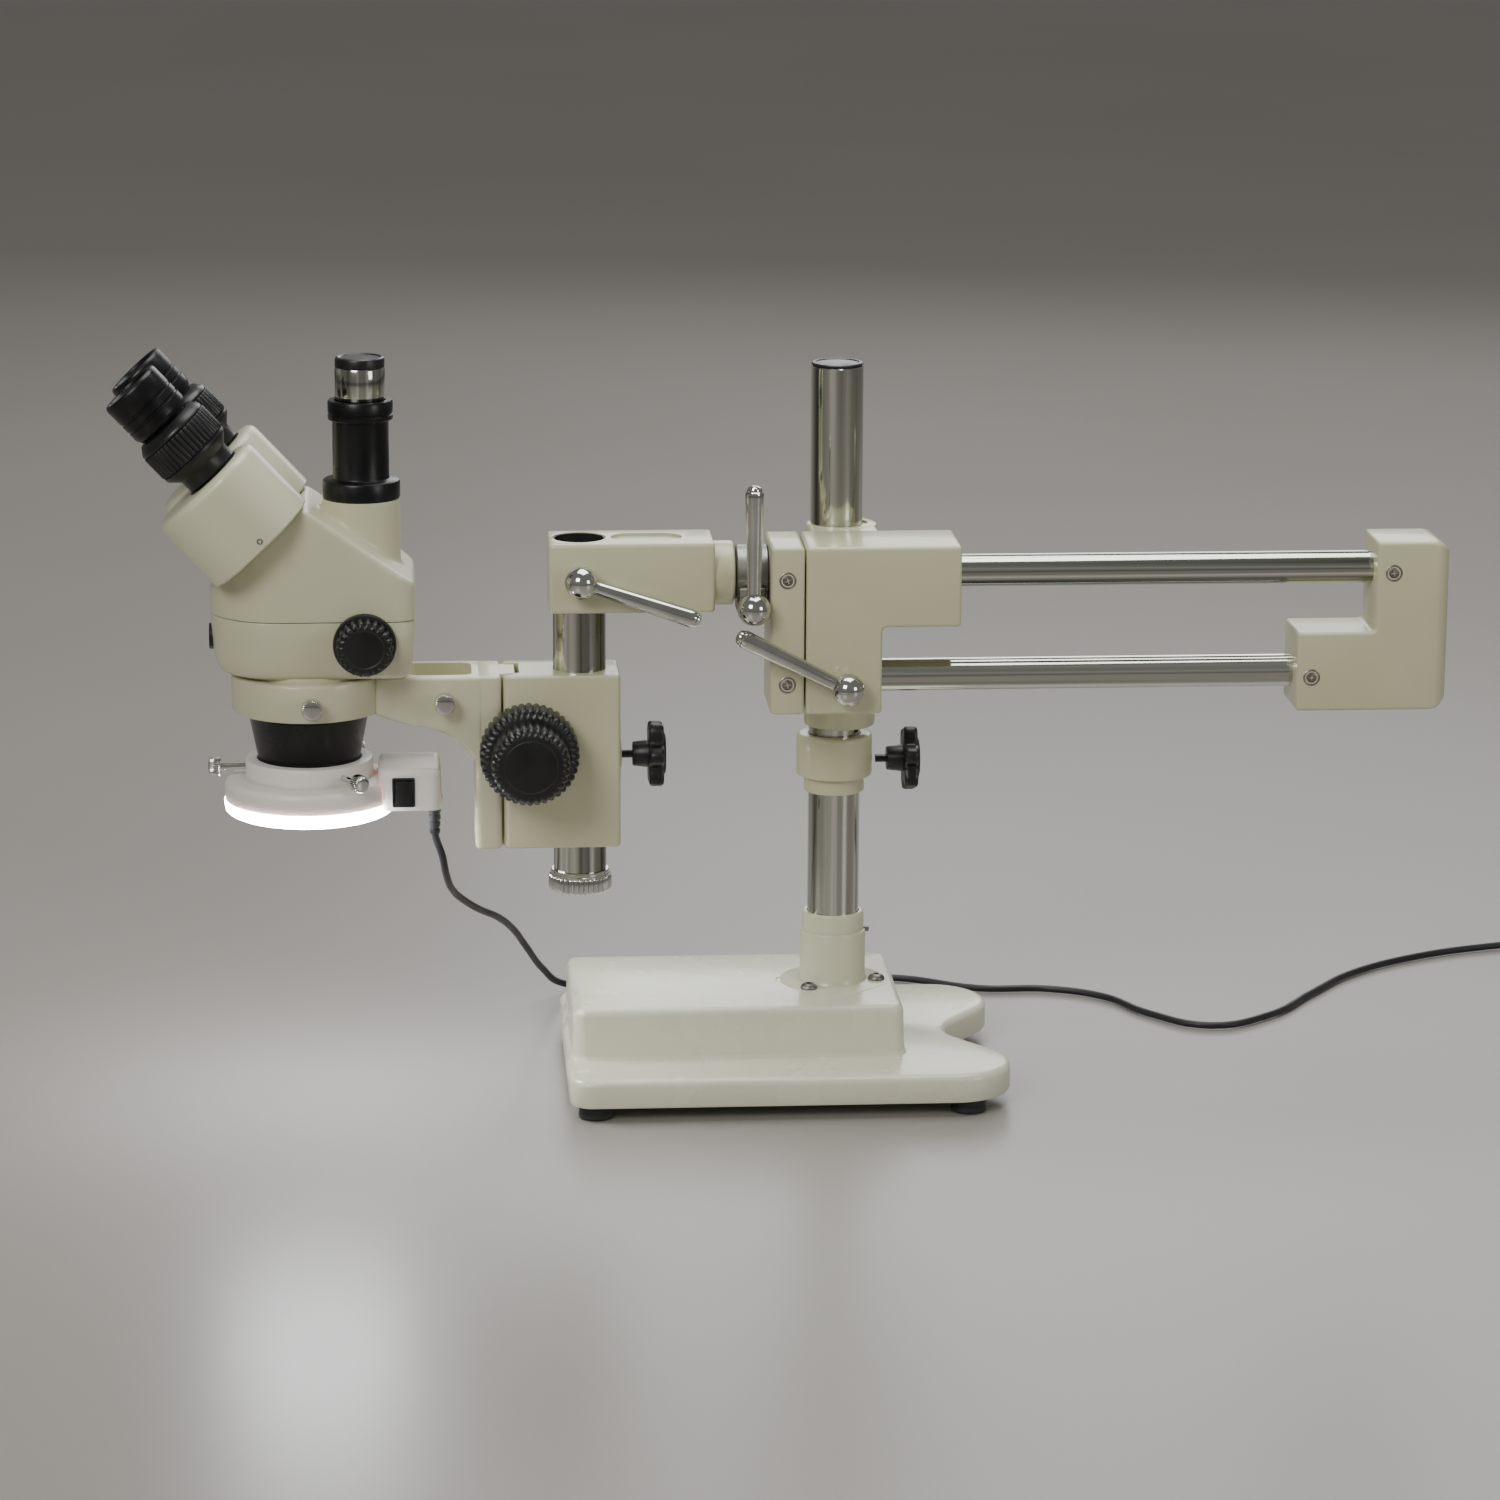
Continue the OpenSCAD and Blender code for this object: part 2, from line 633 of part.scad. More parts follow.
module head_upper() {
  color([0.86, 0.84, 0.74]) difference() {
    union() {
      intersection() {
        upper_profile(0, half_w + 5);
        translate([0, 0, seam_z]) linear_extrude(200) head_plan(0);
      }
      translate([cam_x, by, seam_z + gap]) cylinder(h = tower_top - seam_z - gap, r = 23.2);
    }
    intersection() {
      upper_profile(6, half_w - 7);
      translate([0, 0, seam_z - 1]) linear_extrude(200) head_plan(7);
    }
    translate([0, 0, seam_z - 1]) linear_extrude(6) head_plan(8);
    translate([cam_x, by, seam_z + 10]) cylinder(h = 200, r = 12);
    for (s = [-1, 1]) at_pod(s) translate([0, 0, -20]) cylinder(h = 40, r = 14);
  }
}
// side profile of the upper body, inset by e, drawn out to half width w
module upper_profile(e, w) {
  k = tan(eye_angle);
  apex_x = pod_x + 23.5;
  apex_z = pod_z + 23.5 / k;
  foot_z = seam_z + 12;
  foot_x = pod_x - (pod_z - foot_z) * k;
  translate([0, by + w, 0]) rotate([90, 0, 0]) linear_extrude(2 * w)
    polygon([[head_left - 2 + e, seam_z + gap], [head_right - e, seam_z + gap],
      [head_right - e, seam_z + 22 - e * 0.6], [apex_x + 4 - e * 0.3, apex_z - 1 - e * 1.2],
      [apex_x - e * 0.3, apex_z - e * 1.3], [foot_x + e * 1.1, foot_z],
      [head_left - 2 + e, foot_z - 2]]);
}
module nose_cone() {
  color([0.05, 0.05, 0.05]) translate([axis_x, by, 0]) difference() {
    union() {
      translate([0, 0, cone_bottom]) cylinder(h = nose_top - cone_bottom - gap, r1 = cone_r1,
        r2 = cone_r2);
      translate([0, 0, fit_bottom]) cylinder(h = 12, r = cone_r1);
      translate([0, 0, nose_top - 4]) cylinder(h = 16, r = 30.9);
    }
    cylinder(h = 600, r = 24);
  }
}
module objective_lens() {
  color([0.55, 0.65, 0.7]) translate([axis_x, by, fit_bottom + 3]) cylinder(h = 9, r = 23.98);
}
module zoom_shaft() {
  color([0.6, 0.6, 0.6]) ybar(by - half_w - 14, by + half_w + 14, zoom_x, zoom_z, 4);
}
module zoom_knobs() {
  color([0.05, 0.05, 0.05]) for (s = [-1, 1]) translate([zoom_x, by, zoom_z])
    rotate([s * 90, 0, 0]) difference() {
      union() {
        translate([0, 0, half_w + 0.2]) cylinder(h = 5, r = zoom_knob_d / 2 + 1.8);
        translate([0, 0, half_w + 5]) cylinder(h = 9.5, r = zoom_knob_d / 2);
        translate([0, 0, half_w + 14.5]) cylinder(h = 2, r1 = zoom_knob_d / 2,
          r2 = zoom_knob_d / 2 - 2);
      }
      cylinder(h = half_w + 14.2, r = 4.02);
    }
}
// lens carriage at height z with a lens on each light path
module zoom_carriage(z) {
  color([0.4, 0.45, 0.48]) translate([0, 0, z]) difference() {
    linear_extrude(4) rrect(axis_x - 16, axis_x + 14, by - 27, by + 27, 4);
    for (s = [-1, 1]) translate([axis_x, by + s * 12.5, 2]) cylinder(h = 5, r = 9);
  }
}
module zoom_lens_low() { zoom_carriage(head_bottom + 10); }
module zoom_lens_high() { zoom_carriage(head_bottom + 26); }
module camera_port() {
  color([0.05, 0.05, 0.05]) translate([cam_x, by, 0]) difference() {
    union() {
      translate([0, 0, tower_top]) cylinder(h = 11.3, r = 23.2);
      translate([0, 0, tower_top + 11]) cylinder(h = camera_tube_height + 1, r = 16.8);
      translate([0, 0, port_top]) cylinder(h = 12, r = 19.4);
      translate([0, 0, tower_top - 8]) cylinder(h = 10, r = 11.9);
    }
    translate([0, 0, tower_top - 10]) cylinder(h = 30, r = 10);
    translate([0, 0, tower_top + 14]) cylinder(h = 200, r = 14.03);
  }
}
module camera_sleeve() {
  color([0.8, 0.8, 0.81]) translate([cam_x, by, tower_top + 14.2]) difference() {
    union() {
      cylinder(h = sleeve_top - tower_top - 14.2, r = 14);
      translate([0, 0, port_top + 13 - tower_top - 14.2])
        cylinder(h = sleeve_top - port_top - 13, r = 15);
    }
    translate([0, 0, -1]) cylinder(h = 200, r = 12);
  }
}
module camera_cap() {
  color([0.05, 0.05, 0.05]) translate([cam_x, by, sleeve_top]) {
    translate([0, 0, 0.1]) cylinder(h = 4.5, r = 14);
    translate([0, 0, 4.6]) cylinder(h = 1.6, r1 = 14, r2 = 12.4);
    translate([0, 0, -8]) cylinder(h = 9, r = 11.96);
  }
}
// oval pod section, drawn in by e
module pod_plan(e) {
  r = pod_wide / 2 - e;
  c = (pod_tall - pod_wide) / 2;
  for (s = [-1, 1]) translate([s * c, 0]) circle(r = r);
  translate([-c, -r]) square([2 * c, 2 * r]);
}
module pod(side) {
  color([0.87, 0.85, 0.75]) at_pod(side) difference() {
    union() {
      translate([0, 0, gap]) linear_extrude(pod_length - 3 - gap) pod_plan(0);
      translate([0, 0, pod_length - 3.1]) linear_extrude(1.6) pod_plan(1.2);
      translate([0, 0, pod_length - 1.6]) linear_extrude(1.6) pod_plan(3.2);
    }
    translate([0, 0, -1]) linear_extrude(pod_length - 8) pod_plan(6);
    translate([eye_off, 0, 0]) cylinder(h = 200, r = 15.03);
  }
}
module pod_left() { pod(-1); }
module pod_right() { pod(1); }
module eyepiece(side) {
  color([0.05, 0.05, 0.05]) at_pod(side) translate([eye_off, 0, 0]) difference() {
    union() {
      translate([0, 0, pod_length - 6]) cylinder(h = 77, r = 15);
      translate([0, 0, pod_length + 41]) cylinder(h = 4, r1 = 17, r2 = eyecup_d / 2);
      translate([0, 0, pod_length + 45]) cylinder(h = 26, r = eyecup_d / 2);
    }
    translate([0, 0, 0]) cylinder(h = 300, r = 12);
    translate([0, 0, eye_end - 5]) cylinder(h = 6, r1 = 12, r2 = eyecup_d / 2 - 2);
  }
}
module eyepiece_left() { eyepiece(-1); }
module eyepiece_right() { eyepiece(1); }
module dioptre(side) {
  color([0.06, 0.06, 0.06]) at_pod(side) translate([eye_off, 0, pod_length]) difference() {
    union() {
      translate([0, 0, 0.4]) cylinder(h = 9, r = 17);
      translate([0, 0, 9]) cylinder(h = 6, r1 = 17, r2 = dioptre_d / 2);
      translate([0, 0, 15]) cylinder(h = 20, r = dioptre_d / 2);
      translate([0, 0, 35]) cylinder(h = 5.5, r1 = dioptre_d / 2, r2 = dioptre_d / 2 - 4);
    }
    translate([0, 0, -1]) cylinder(h = 60, r = 15 + run);
  }
}
module dioptre_left() { dioptre(-1); }
module dioptre_right() { dioptre(1); }
// eye lens, field lens and erecting prism of one pod
module optics(side) {
  color([0.5, 0.6, 0.65]) at_pod(side) {
    translate([eye_off, 0, eye_end - 12]) cylinder(h = 4, r = 11.98);
    translate([eye_off, 0, pod_length + 4]) cylinder(h = 4, r = 11.98);
    translate([-pod_tall / 2 + 11, -13, 6]) cube([pod_tall - 24, 26, 26]);
  }
}
module optics_left() { optics(-1); }
module optics_right() { optics(1); }

// ---- ring light ----
module ring_light_body() {
  color([0.9, 0.88, 0.86]) difference() {
    union() {
      translate([axis_x, by, light_z]) cylinder(h = light_height - 2, r = light_d / 2);
      translate([axis_x, by, light_top - 2]) cylinder(h = 2, r1 = light_d / 2,
        r2 = light_d / 2 - 2);
      translate([axis_x, by, light_top - 1]) cylinder(h = 13, r = hub_r);
      translate([0, 0, light_z]) linear_extrude(25.8)
        rrect(axis_x + 30, box_right, box_front, box_back, 4);
    }
    translate([axis_x, by, 0]) cylinder(h = 600, r = 26);
    translate([axis_x, by, fit_bottom - 0.3]) cylinder(h = 60, r = cone_r1 + 0.6);
    translate([axis_x, by, light_z - 1]) rotate_extrude()
      translate([31, 0]) square([17.1, 12]);
    box(axis_x + 52, box_right - 2, box_front + 2, box_back - 2, light_z + 2, light_z + 23);
    translate([gland_x, gland_y, light_z - 1]) cylinder(h = 5, r = lead_r + 0.2);
    box(box_right - 29, box_right - 17, box_front - 1, box_front + 3, light_z + 3.5,
      light_z + 20.5);
    for (a = [180, -58, 61]) translate([axis_x, by, light_top + 5.9]) rotate([0, 0, a])
      rotate([0, 90, 0]) cylinder(h = 60, r = 2.05);
  }
}
module ring_light_lens() {
  color([1, 1, 0.96]) {
    translate([axis_x, by, light_z - 5.5]) rotate_extrude() {
      translate([33, 0]) square([13, 5.4]);
      translate([31.1, 2]) square([16.9, 5]);
      translate([46, 2]) circle(r = 2);
      translate([33.1, 2]) circle(r = 2);
    }
  }
}
module ring_lamp() {
  color([0.95, 0.95, 0.95]) translate([axis_x, by, light_z + 6]) rotate_extrude()
    translate([39.5, 0]) circle(r = 4);
}
module ring_screw_a() { color([0.78, 0.78, 0.79]) ring_screw(180); }
module ring_screw_b() { color([0.78, 0.78, 0.79]) ring_screw(-58); }
module ring_screw_c() { color([0.78, 0.78, 0.79]) ring_screw(61); }
module ring_rocker() {
  color([0.08, 0.08, 0.08]) {
    box(box_right - 28.5, box_right - 17.5, box_front - 0.8, box_front + 1.9,
      light_z + 4.5, light_z + 19.5);
    xbar(box_right - 28.7, box_right - 17.3, box_front + 1.4, light_z + 12, 0.9);
  }
}
module cord_gland() {
  color([0.06, 0.06, 0.06]) translate([gland_x, gland_y, light_z]) difference() {
    union() {
      translate([0, 0, -24]) cylinder(h = 23.9, r1 = 3.2, r2 = 4);
      translate([0, 0, -2.1]) cylinder(h = 2, r = 5);
    }
    translate([0, 0, -30]) cylinder(h = 60, r = lead_r + 0.3);
  }
}

// ---- mains lead ----
lead_route = [[gland_x, gland_y, light_z - 8], [gland_x, gland_y, light_z - 18],
  [gland_x, gland_y, light_z - 27],
  [-243.5, -39, 151], [-241, -33.5, 137], [-237, -18, 123.5], [-229.5, 1, 111.5],
  [-220, 22, 100], [-208.6, 46, 88.5], [-198, 76, 72], [-188, 108, 50], [-177, 143, 26],
  [-163, 170, 8], [-140, 184, lead_r], [-105, 191, lead_r], [-55, 194, lead_r],
  [0, 195, lead_r], [62, 189, lead_r],
  [112, 162, lead_r], [158, 158, lead_r], [192, 138, lead_r], [216, 98, lead_r],
  [252, 68, lead_r], [292, 88, lead_r], [330, 138, lead_r], [366, 184, lead_r],
  [418, 222, lead_r], [470, 243, lead_r], [527.5, 252, lead_r]];
function cr(p0, p1, p2, p3, t) = 0.5 * (2 * p1 + (p2 - p0) * t
  + (2 * p0 - 5 * p1 + 4 * p2 - p3) * t * t + (3 * p1 - p0 - 3 * p2 + p3) * t * t * t);
lead_n = len(lead_route);
lead_steps = 3;
lead_line = [for (i = [0:lead_n - 2]) for (k = [0:lead_steps - 1])
  cr(lead_route[max(i - 1, 0)], lead_route[i], lead_route[i + 1],
    lead_route[min(i + 2, lead_n - 1)], k / lead_steps), lead_route[lead_n - 1]];
function unit(v) = v / norm(v);
function ring_at(i) = let (
  n = len(lead_line),
  t = unit(lead_line[min(i + 1, n - 1)] - lead_line[max(i - 1, 0)]),
  a = unit(cross(t, [1, -1, 1])),
  b = cross(t, a)
) [for (k = [0:7]) lead_line[i] + lead_r * (cos(k * 45) * a + sin(k * 45) * b)];
module cord_tube() {
  n = len(lead_line);
  pts = [for (i = [0:n - 1]) each ring_at(i)];
  sides = [for (i = [0:n - 2]) for (k = [0:7])
    [i * 8 + k, (i + 1) * 8 + k, (i + 1) * 8 + (k + 1) % 8, i * 8 + (k + 1) % 8]];
  color([0.05, 0.05, 0.05]) polyhedron(points = pts, faces = concat(sides,
    [[for (k = [0:7]) k]], [[for (k = [7:-1:0]) (n - 1) * 8 + k]]), convexity = 12);
}
coil_x = 545;
coil_y = 224.6;
module cord_coil() {
  color([0.05, 0.05, 0.05]) translate([coil_x, coil_y, 2 * lead_r + 0.2]) rotate_extrude()
    translate([25, 0]) circle(r = 2 * lead_r);
}
module mains_plug() {
  color([0.06, 0.06, 0.06]) translate([coil_x + 32, coil_y - 48, 0]) rotate(-90) {
    box(0, 34, -13, 13, 0, 22);
    translate([-22, 0, 11]) rotate([0, 90, 0]) cylinder(h = 23, r1 = 3.4, r2 = 6.5);
    for (s = [-1, 1]) box(33, 51, s * 6.3 - 3.2, s * 6.3 + 3.2, 10.2, 11.8);
    xbar(33, 53, 0, 4.5, 2.3);
  }
}

translate([ox, oy, 0]) {
  base_casting();
  base_feet();
  post_socket();
  socket_screws();
  post();
  post_cap();
  safety_collar();
  collar_knob();
  boom_housing();
  boom_bearings();
  boom_lever();
  boom_tubes();
  front_plate();
  tube_set_screws();
  end_block();
  pivot_shaft();
  swivel_arm();
  swivel_lever();
  arm_lever();
  focus_bar();
  bar_collar();
  focus_body();
  body_clamp_knob();
  focus_pinion();
  focus_knobs();
  focus_slide();
  focus_rack();
  head_screw_rear();
  head_screw_front();
  head_lower();
  head_upper();
  nose_cone();
  objective_lens();
  blank_badge();
  zoom_shaft();
  zoom_knobs();
  zoom_lens_low();
  zoom_lens_high();
  camera_port();
  camera_sleeve();
  camera_cap();
  pod_left();
  pod_right();
  eyepiece_left();
  eyepiece_right();
  dioptre_left();
  dioptre_right();
  optics_left();
  optics_right();
  ring_light_body();
  ring_light_lens();
  ring_lamp();
  ring_screw_a();
  ring_screw_b();
  ring_screw_c();
  ring_rocker();
  cord_gland();
  cord_tube();
  cord_coil();
  mains_plug();
}
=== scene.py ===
# %% [markdown]
# # A stereo microscope on a boom stand
# A binocular head with a camera port hangs from a swivel arm on two chrome tubes. The tubes slide
# through a housing on a chrome post, and the post stands in a heavy cast base. This lesson gives
# every part its real edges and finishes, around the engineering model that is loaded first. That
# model fixes all the places, so each step reads them from it and nothing is guessed twice.

import json
import math

import bpy
from mathutils import Matrix, Vector


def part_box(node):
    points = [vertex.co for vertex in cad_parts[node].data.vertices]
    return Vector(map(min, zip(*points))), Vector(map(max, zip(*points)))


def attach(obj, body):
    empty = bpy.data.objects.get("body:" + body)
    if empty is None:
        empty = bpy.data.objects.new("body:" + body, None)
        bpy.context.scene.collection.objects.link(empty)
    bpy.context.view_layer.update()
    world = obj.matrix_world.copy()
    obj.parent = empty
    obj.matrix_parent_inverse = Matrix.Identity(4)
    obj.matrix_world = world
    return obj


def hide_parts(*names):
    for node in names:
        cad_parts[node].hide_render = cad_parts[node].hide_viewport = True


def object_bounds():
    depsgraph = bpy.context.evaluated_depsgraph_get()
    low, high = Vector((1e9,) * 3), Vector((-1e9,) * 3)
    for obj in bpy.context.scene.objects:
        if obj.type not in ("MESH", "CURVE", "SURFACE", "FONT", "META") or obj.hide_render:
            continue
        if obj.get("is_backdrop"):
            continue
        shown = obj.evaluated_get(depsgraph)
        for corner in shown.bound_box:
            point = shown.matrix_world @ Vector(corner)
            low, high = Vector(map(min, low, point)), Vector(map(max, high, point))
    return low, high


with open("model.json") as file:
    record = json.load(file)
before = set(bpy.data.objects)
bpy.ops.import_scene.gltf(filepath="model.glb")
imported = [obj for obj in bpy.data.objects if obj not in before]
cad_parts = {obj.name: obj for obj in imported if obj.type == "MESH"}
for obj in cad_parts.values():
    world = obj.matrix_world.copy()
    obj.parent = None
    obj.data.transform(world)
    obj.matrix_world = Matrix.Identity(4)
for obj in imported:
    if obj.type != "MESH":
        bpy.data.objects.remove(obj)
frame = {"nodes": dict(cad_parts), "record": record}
cad_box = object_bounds()

# %% [markdown]
# ## Measures
# A workshop drawing gives its sizes in millimetres from one datum. Here the datum is the axis of
# the post, at the desk. `span` reads a part's two corners in those measures, and `at` turns a
# point of the drawing into a point of the scene, in metres.

# %% Millimetres from the post axis
post_low, post_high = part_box("post")
datum = Vector(((post_low.x + post_high.x) / 2, (post_low.y + post_high.y) / 2, 0))


def at(x, y, z):
    return datum + Vector((x, y, z)) / 1000


def span(node):
    low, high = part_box(node)
    return [(v - datum) * 1000 for v in (low, high)]


def middle(node):
    low, high = span(node)
    return (low + high) / 2


print("datum", [round(v, 4) for v in datum], "post top", round(span("post_cap")[1].z, 1))

# %% [markdown]
# ## Camera
# The instrument is seen from the front and a little from above, from three metres away with a
# long lens, so that its upright lines stay upright. The camera comes first, because the lead's
# spare length has to lie just outside what it sees.

# %% The camera
studio_camera = bpy.data.cameras.new("studio_camera")
studio_camera.lens = 120
studio_camera.sensor_width = 36
studio_camera.clip_start, studio_camera.clip_end = 0.05, 100
camera = bpy.data.objects.new("studio_camera", studio_camera)
bpy.context.scene.collection.objects.link(camera)
camera.location = (-0.23472, -2.98605, 0.92926)
camera.rotation_euler = [math.radians(v) for v in (76.4781, -0.2507, -4.0937)]
bpy.context.scene.camera = camera
print("camera at", tuple(round(v, 3) for v in camera.location))

# %% [markdown]
# ## Finishes
# Each finish is a material built from nodes. Three small helpers do most of the work: `grain`
# makes a noise at a chosen scale, `shades` turns it into colours or roughness, and `relief` turns
# it into a bump. They all read Object coordinates, so a pattern keeps its real size on each part.

# %% Helpers for finishes


def finish(name, metallic=0.0, rough=0.5):
    made = bpy.data.materials.new(name)
    made.use_nodes = True
    shader = made.node_tree.nodes["Principled BSDF"]
    shader.inputs["Metallic"].default_value = metallic
    shader.inputs["Roughness"].default_value = rough
    return made, shader


def grain(made, scale, detail=2.0, stretch=(1, 1, 1)):
    nodes, links = made.node_tree.nodes, made.node_tree.links
    where = nodes.new("ShaderNodeTexCoord")
    turn = nodes.new("ShaderNodeMapping")
    turn.inputs["Scale"].default_value = stretch
    noise = nodes.new("ShaderNodeTexNoise")
    noise.inputs["Scale"].default_value = scale
    noise.inputs["Detail"].default_value = detail
    links.new(where.outputs["Object"], turn.inputs["Vector"])
    links.new(turn.outputs["Vector"], noise.inputs["Vector"])
    return noise.outputs["Fac"]


def shades(made, source, *stops):
    ramp = made.node_tree.nodes.new("ShaderNodeValToRGB")
    while len(ramp.color_ramp.elements) < len(stops):
        ramp.color_ramp.elements.new(0.5)
    for element, (place, colour) in zip(ramp.color_ramp.elements, stops):
        element.position = place
        element.color = (*colour, 1) if isinstance(colour, tuple) else (colour, colour, colour, 1)
    made.node_tree.links.new(source, ramp.inputs["Fac"])
    return ramp.outputs["Color"]


def relief(made, shader, source, depth_mm, strength=1.0):
    bump = made.node_tree.nodes.new("ShaderNodeBump")
    bump.inputs["Distance"].default_value = depth_mm / 1000
    bump.inputs["Strength"].default_value = strength
    before = shader.inputs["Normal"].links
    if before:
        made.node_tree.links.new(before[0].from_socket, bump.inputs["Normal"])
    made.node_tree.links.new(source, bump.inputs["Height"])
    made.node_tree.links.new(bump.outputs["Normal"], shader.inputs["Normal"])


def edges(made):
    return made.node_tree.nodes.new("ShaderNodeNewGeometry").outputs["Pointiness"]


def mixed(made, factor, first, second, how="MIX"):
    mix = made.node_tree.nodes.new("ShaderNodeMix")
    mix.data_type, mix.blend_type = "RGBA", how
    links = made.node_tree.links
    for socket, value in ((mix.inputs[0], factor), (mix.inputs[6], first), (mix.inputs[7], second)):
        if isinstance(value, bpy.types.NodeSocket):
            links.new(value, socket)
        else:
            socket.default_value = (*value, 1) if isinstance(value, tuple) else value
    return mix.outputs[2]


finishes = {}

# %% [markdown]
# ### Enamel on the castings
# The castings are ground, filled and sprayed with a warm cream enamel. Sprayed enamel is never
# flat: it has a slow cloudiness where the coat is thicker and a fine orange peel. The sharp edges
# are painted a little lighter, as a painted highlight, and the inner corners a little darker. The
# same recipe with small changes gives the ivory base, the socket, the die-cast head and its pods.

# %% Enamel


def enamel(slot, thick, thin, gloss, peel_mm, cast_mm):
    made, shader = finish(slot, 0.0, gloss)
    cloud = shades(made, grain(made, 9, 3), (0.35, thick), (0.68, thin))
    # Inner corners, where pointiness is low, are painted darker.
    darker_corner_colour = tuple(c * 0.80 for c in thick)
    # Sharp edges are painted lighter: a painted highlight.
    painted_edge_highlight = tuple(min(1, c * 1.05) for c in thin)
    corner = shades(made, edges(made), (0.44, 0.0), (0.485, 1.0))
    edge = shades(made, edges(made), (0.53, 0.0), (0.62, 1.0))
    body = mixed(made, corner, darker_corner_colour, cloud)
    fleck = shades(made, grain(made, 1400, 2), (0.70, 0.0), (0.74, 0.5))
    body = mixed(made, fleck, body, tuple(c * 0.9 for c in thick))
    colour = mixed(made, edge, body, painted_edge_highlight)
    made.node_tree.links.new(colour, shader.inputs["Base Color"])
    gloss_map = shades(made, grain(made, 35, 4), (0.3, gloss - 0.015), (0.7, gloss + 0.025))
    made.node_tree.links.new(gloss_map, shader.inputs["Roughness"])
    relief(made, shader, grain(made, 120, 3), cast_mm, 0.5)
    relief(made, shader, grain(made, 900, 2), peel_mm, 0.6)
    shader.inputs["Coat Weight"].default_value = 0.35
    shader.inputs["Coat Roughness"].default_value = 0.12
    finishes[slot] = made
    return made


enamel("casting_paint", (0.56, 0.555, 0.36), (0.61, 0.605, 0.405), 0.34, 0.030, 0.05)
enamel("base_paint", (0.68, 0.675, 0.52), (0.72, 0.715, 0.56), 0.26, 0.010, 0.010)
enamel("socket_paint", (0.63, 0.625, 0.45), (0.68, 0.675, 0.50), 0.30, 0.015, 0.02)
enamel("head_paint", (0.57, 0.56, 0.385), (0.62, 0.61, 0.43), 0.36, 0.025, 0.03)
enamel("pod_paint", (0.59, 0.58, 0.41), (0.64, 0.63, 0.455), 0.36, 0.025, 0.03)
print("enamels:", sorted(finishes))

# %% [markdown]
# ### Metals
# Chrome on the post, the tubes and the levers is ground round and polished: it is nearly a mirror,
# with very fine rings left by the grinding and faint wipe marks that only show in its roughness.
# Turned steel is coarser and greyer. Oiled dark steel is used on the screws, and bush bronze is
# seen only in the joints. The long tubes are drawn before they are plated, and drawing leaves
# fine lines along them. The broad dark and bright stripes along them are painted reflections.
# `drawn` paints both into the colour, each from a noise squeezed almost flat along the tube, so
# one finish is needed for each direction.

# %% Metals


def metal(slot, low, high, gloss, spread, scale, stretch, marks_mm):
    made, shader = finish(slot, 1.0, gloss)
    tone = shades(made, grain(made, 40, 4), (0.35, low), (0.7, high))
    wear = shades(made, edges(made), (0.52, 0.0), (0.6, 0.7))
    tone = mixed(made, wear, tone, tuple(min(1, c * 1.12) for c in high))
    made.node_tree.links.new(tone, shader.inputs["Base Color"])
    rings = grain(made, scale, 3, stretch)
    wiped = shades(made, rings, (0.3, gloss), (0.72, gloss + spread))
    made.node_tree.links.new(wiped, shader.inputs["Roughness"])
    relief(made, shader, rings, marks_mm, 0.35)
    finishes[slot] = made
    return made


metal("bright_chrome", (0.52, 0.525, 0.50), (0.66, 0.665, 0.64), 0.06, 0.07, 90, (1, 1, 1), 0.004)


# Painted reflections: `drawn` lays broad dark and bright stripes into the chrome's colour.
def drawn(slot, stretch):
    made = metal(slot, (0.5, 0.5, 0.48), (0.6, 0.6, 0.58), 0.07, 0.06, 90, stretch, 0.003)
    shader = made.node_tree.nodes["Principled BSDF"]
    # Painted reflection stripes, dark and bright, stretched along the tube.
    painted_reflection_bands = shades(
        made, grain(made, 105, 1.5, stretch),
        (0.36, (0.075, 0.08, 0.07)), (0.44, (0.36, 0.37, 0.31)), (0.52, (0.50, 0.51, 0.45)),
        (0.58, (0.90, 0.90, 0.86)), (0.66, (0.40, 0.41, 0.36)),
    )
    fine = shades(made, grain(made, 520, 2, stretch), (0.35, 0.0), (0.65, 0.35))
    made.node_tree.links.new(mixed(made, fine, painted_reflection_bands, (0.62, 0.62, 0.58)), shader.inputs["Base Color"])


drawn("upright_chrome", (1, 1, 0.006))
drawn("level_chrome", (0.006, 1, 1))
metal("turned_steel", (0.55, 0.55, 0.545), (0.66, 0.655, 0.645), 0.22, 0.14, 500, (1, 1, 1), 0.012)
metal("dark_steel", (0.17, 0.165, 0.155), (0.28, 0.27, 0.255), 0.34, 0.16, 400, (1, 1, 1), 0.015)
metal("bush_bronze", (0.50, 0.37, 0.17), (0.62, 0.48, 0.25), 0.30, 0.15, 420, (1, 1, 1), 0.015)
print("metals added:", len(finishes))

# %% [markdown]
# ### Black parts, rubber, glass and light
# The knobs are moulded in black plastic with a satin skin that polishes where fingers touch it.
# The eyepieces and the cone are black anodised alloy with a finer grain. The feet, the gland and
# the lead are rubber. The ring light is off-white plastic around a lit, frosted ring.

# %% Black and soft parts


def dark(slot, low, high, gloss, spread, scale, bump_mm, metallic=0.0, sheen=0.0):
    made, shader = finish(slot, metallic, gloss)
    tone = shades(made, grain(made, 60, 3), (0.3, low), (0.7, high))
    rub = shades(made, edges(made), (0.53, 0.0), (0.66, 0.6))
    tone = mixed(made, rub, tone, tuple(c * 2.4 + 0.012 for c in high))
    made.node_tree.links.new(tone, shader.inputs["Base Color"])
    skin = grain(made, scale, 3)
    touched = shades(made, grain(made, 70, 3), (0.35, gloss), (0.7, gloss + spread))
    made.node_tree.links.new(touched, shader.inputs["Roughness"])
    relief(made, shader, skin, bump_mm, 0.5)
    shader.inputs["Sheen Weight"].default_value = sheen
    finishes[slot] = made
    return made


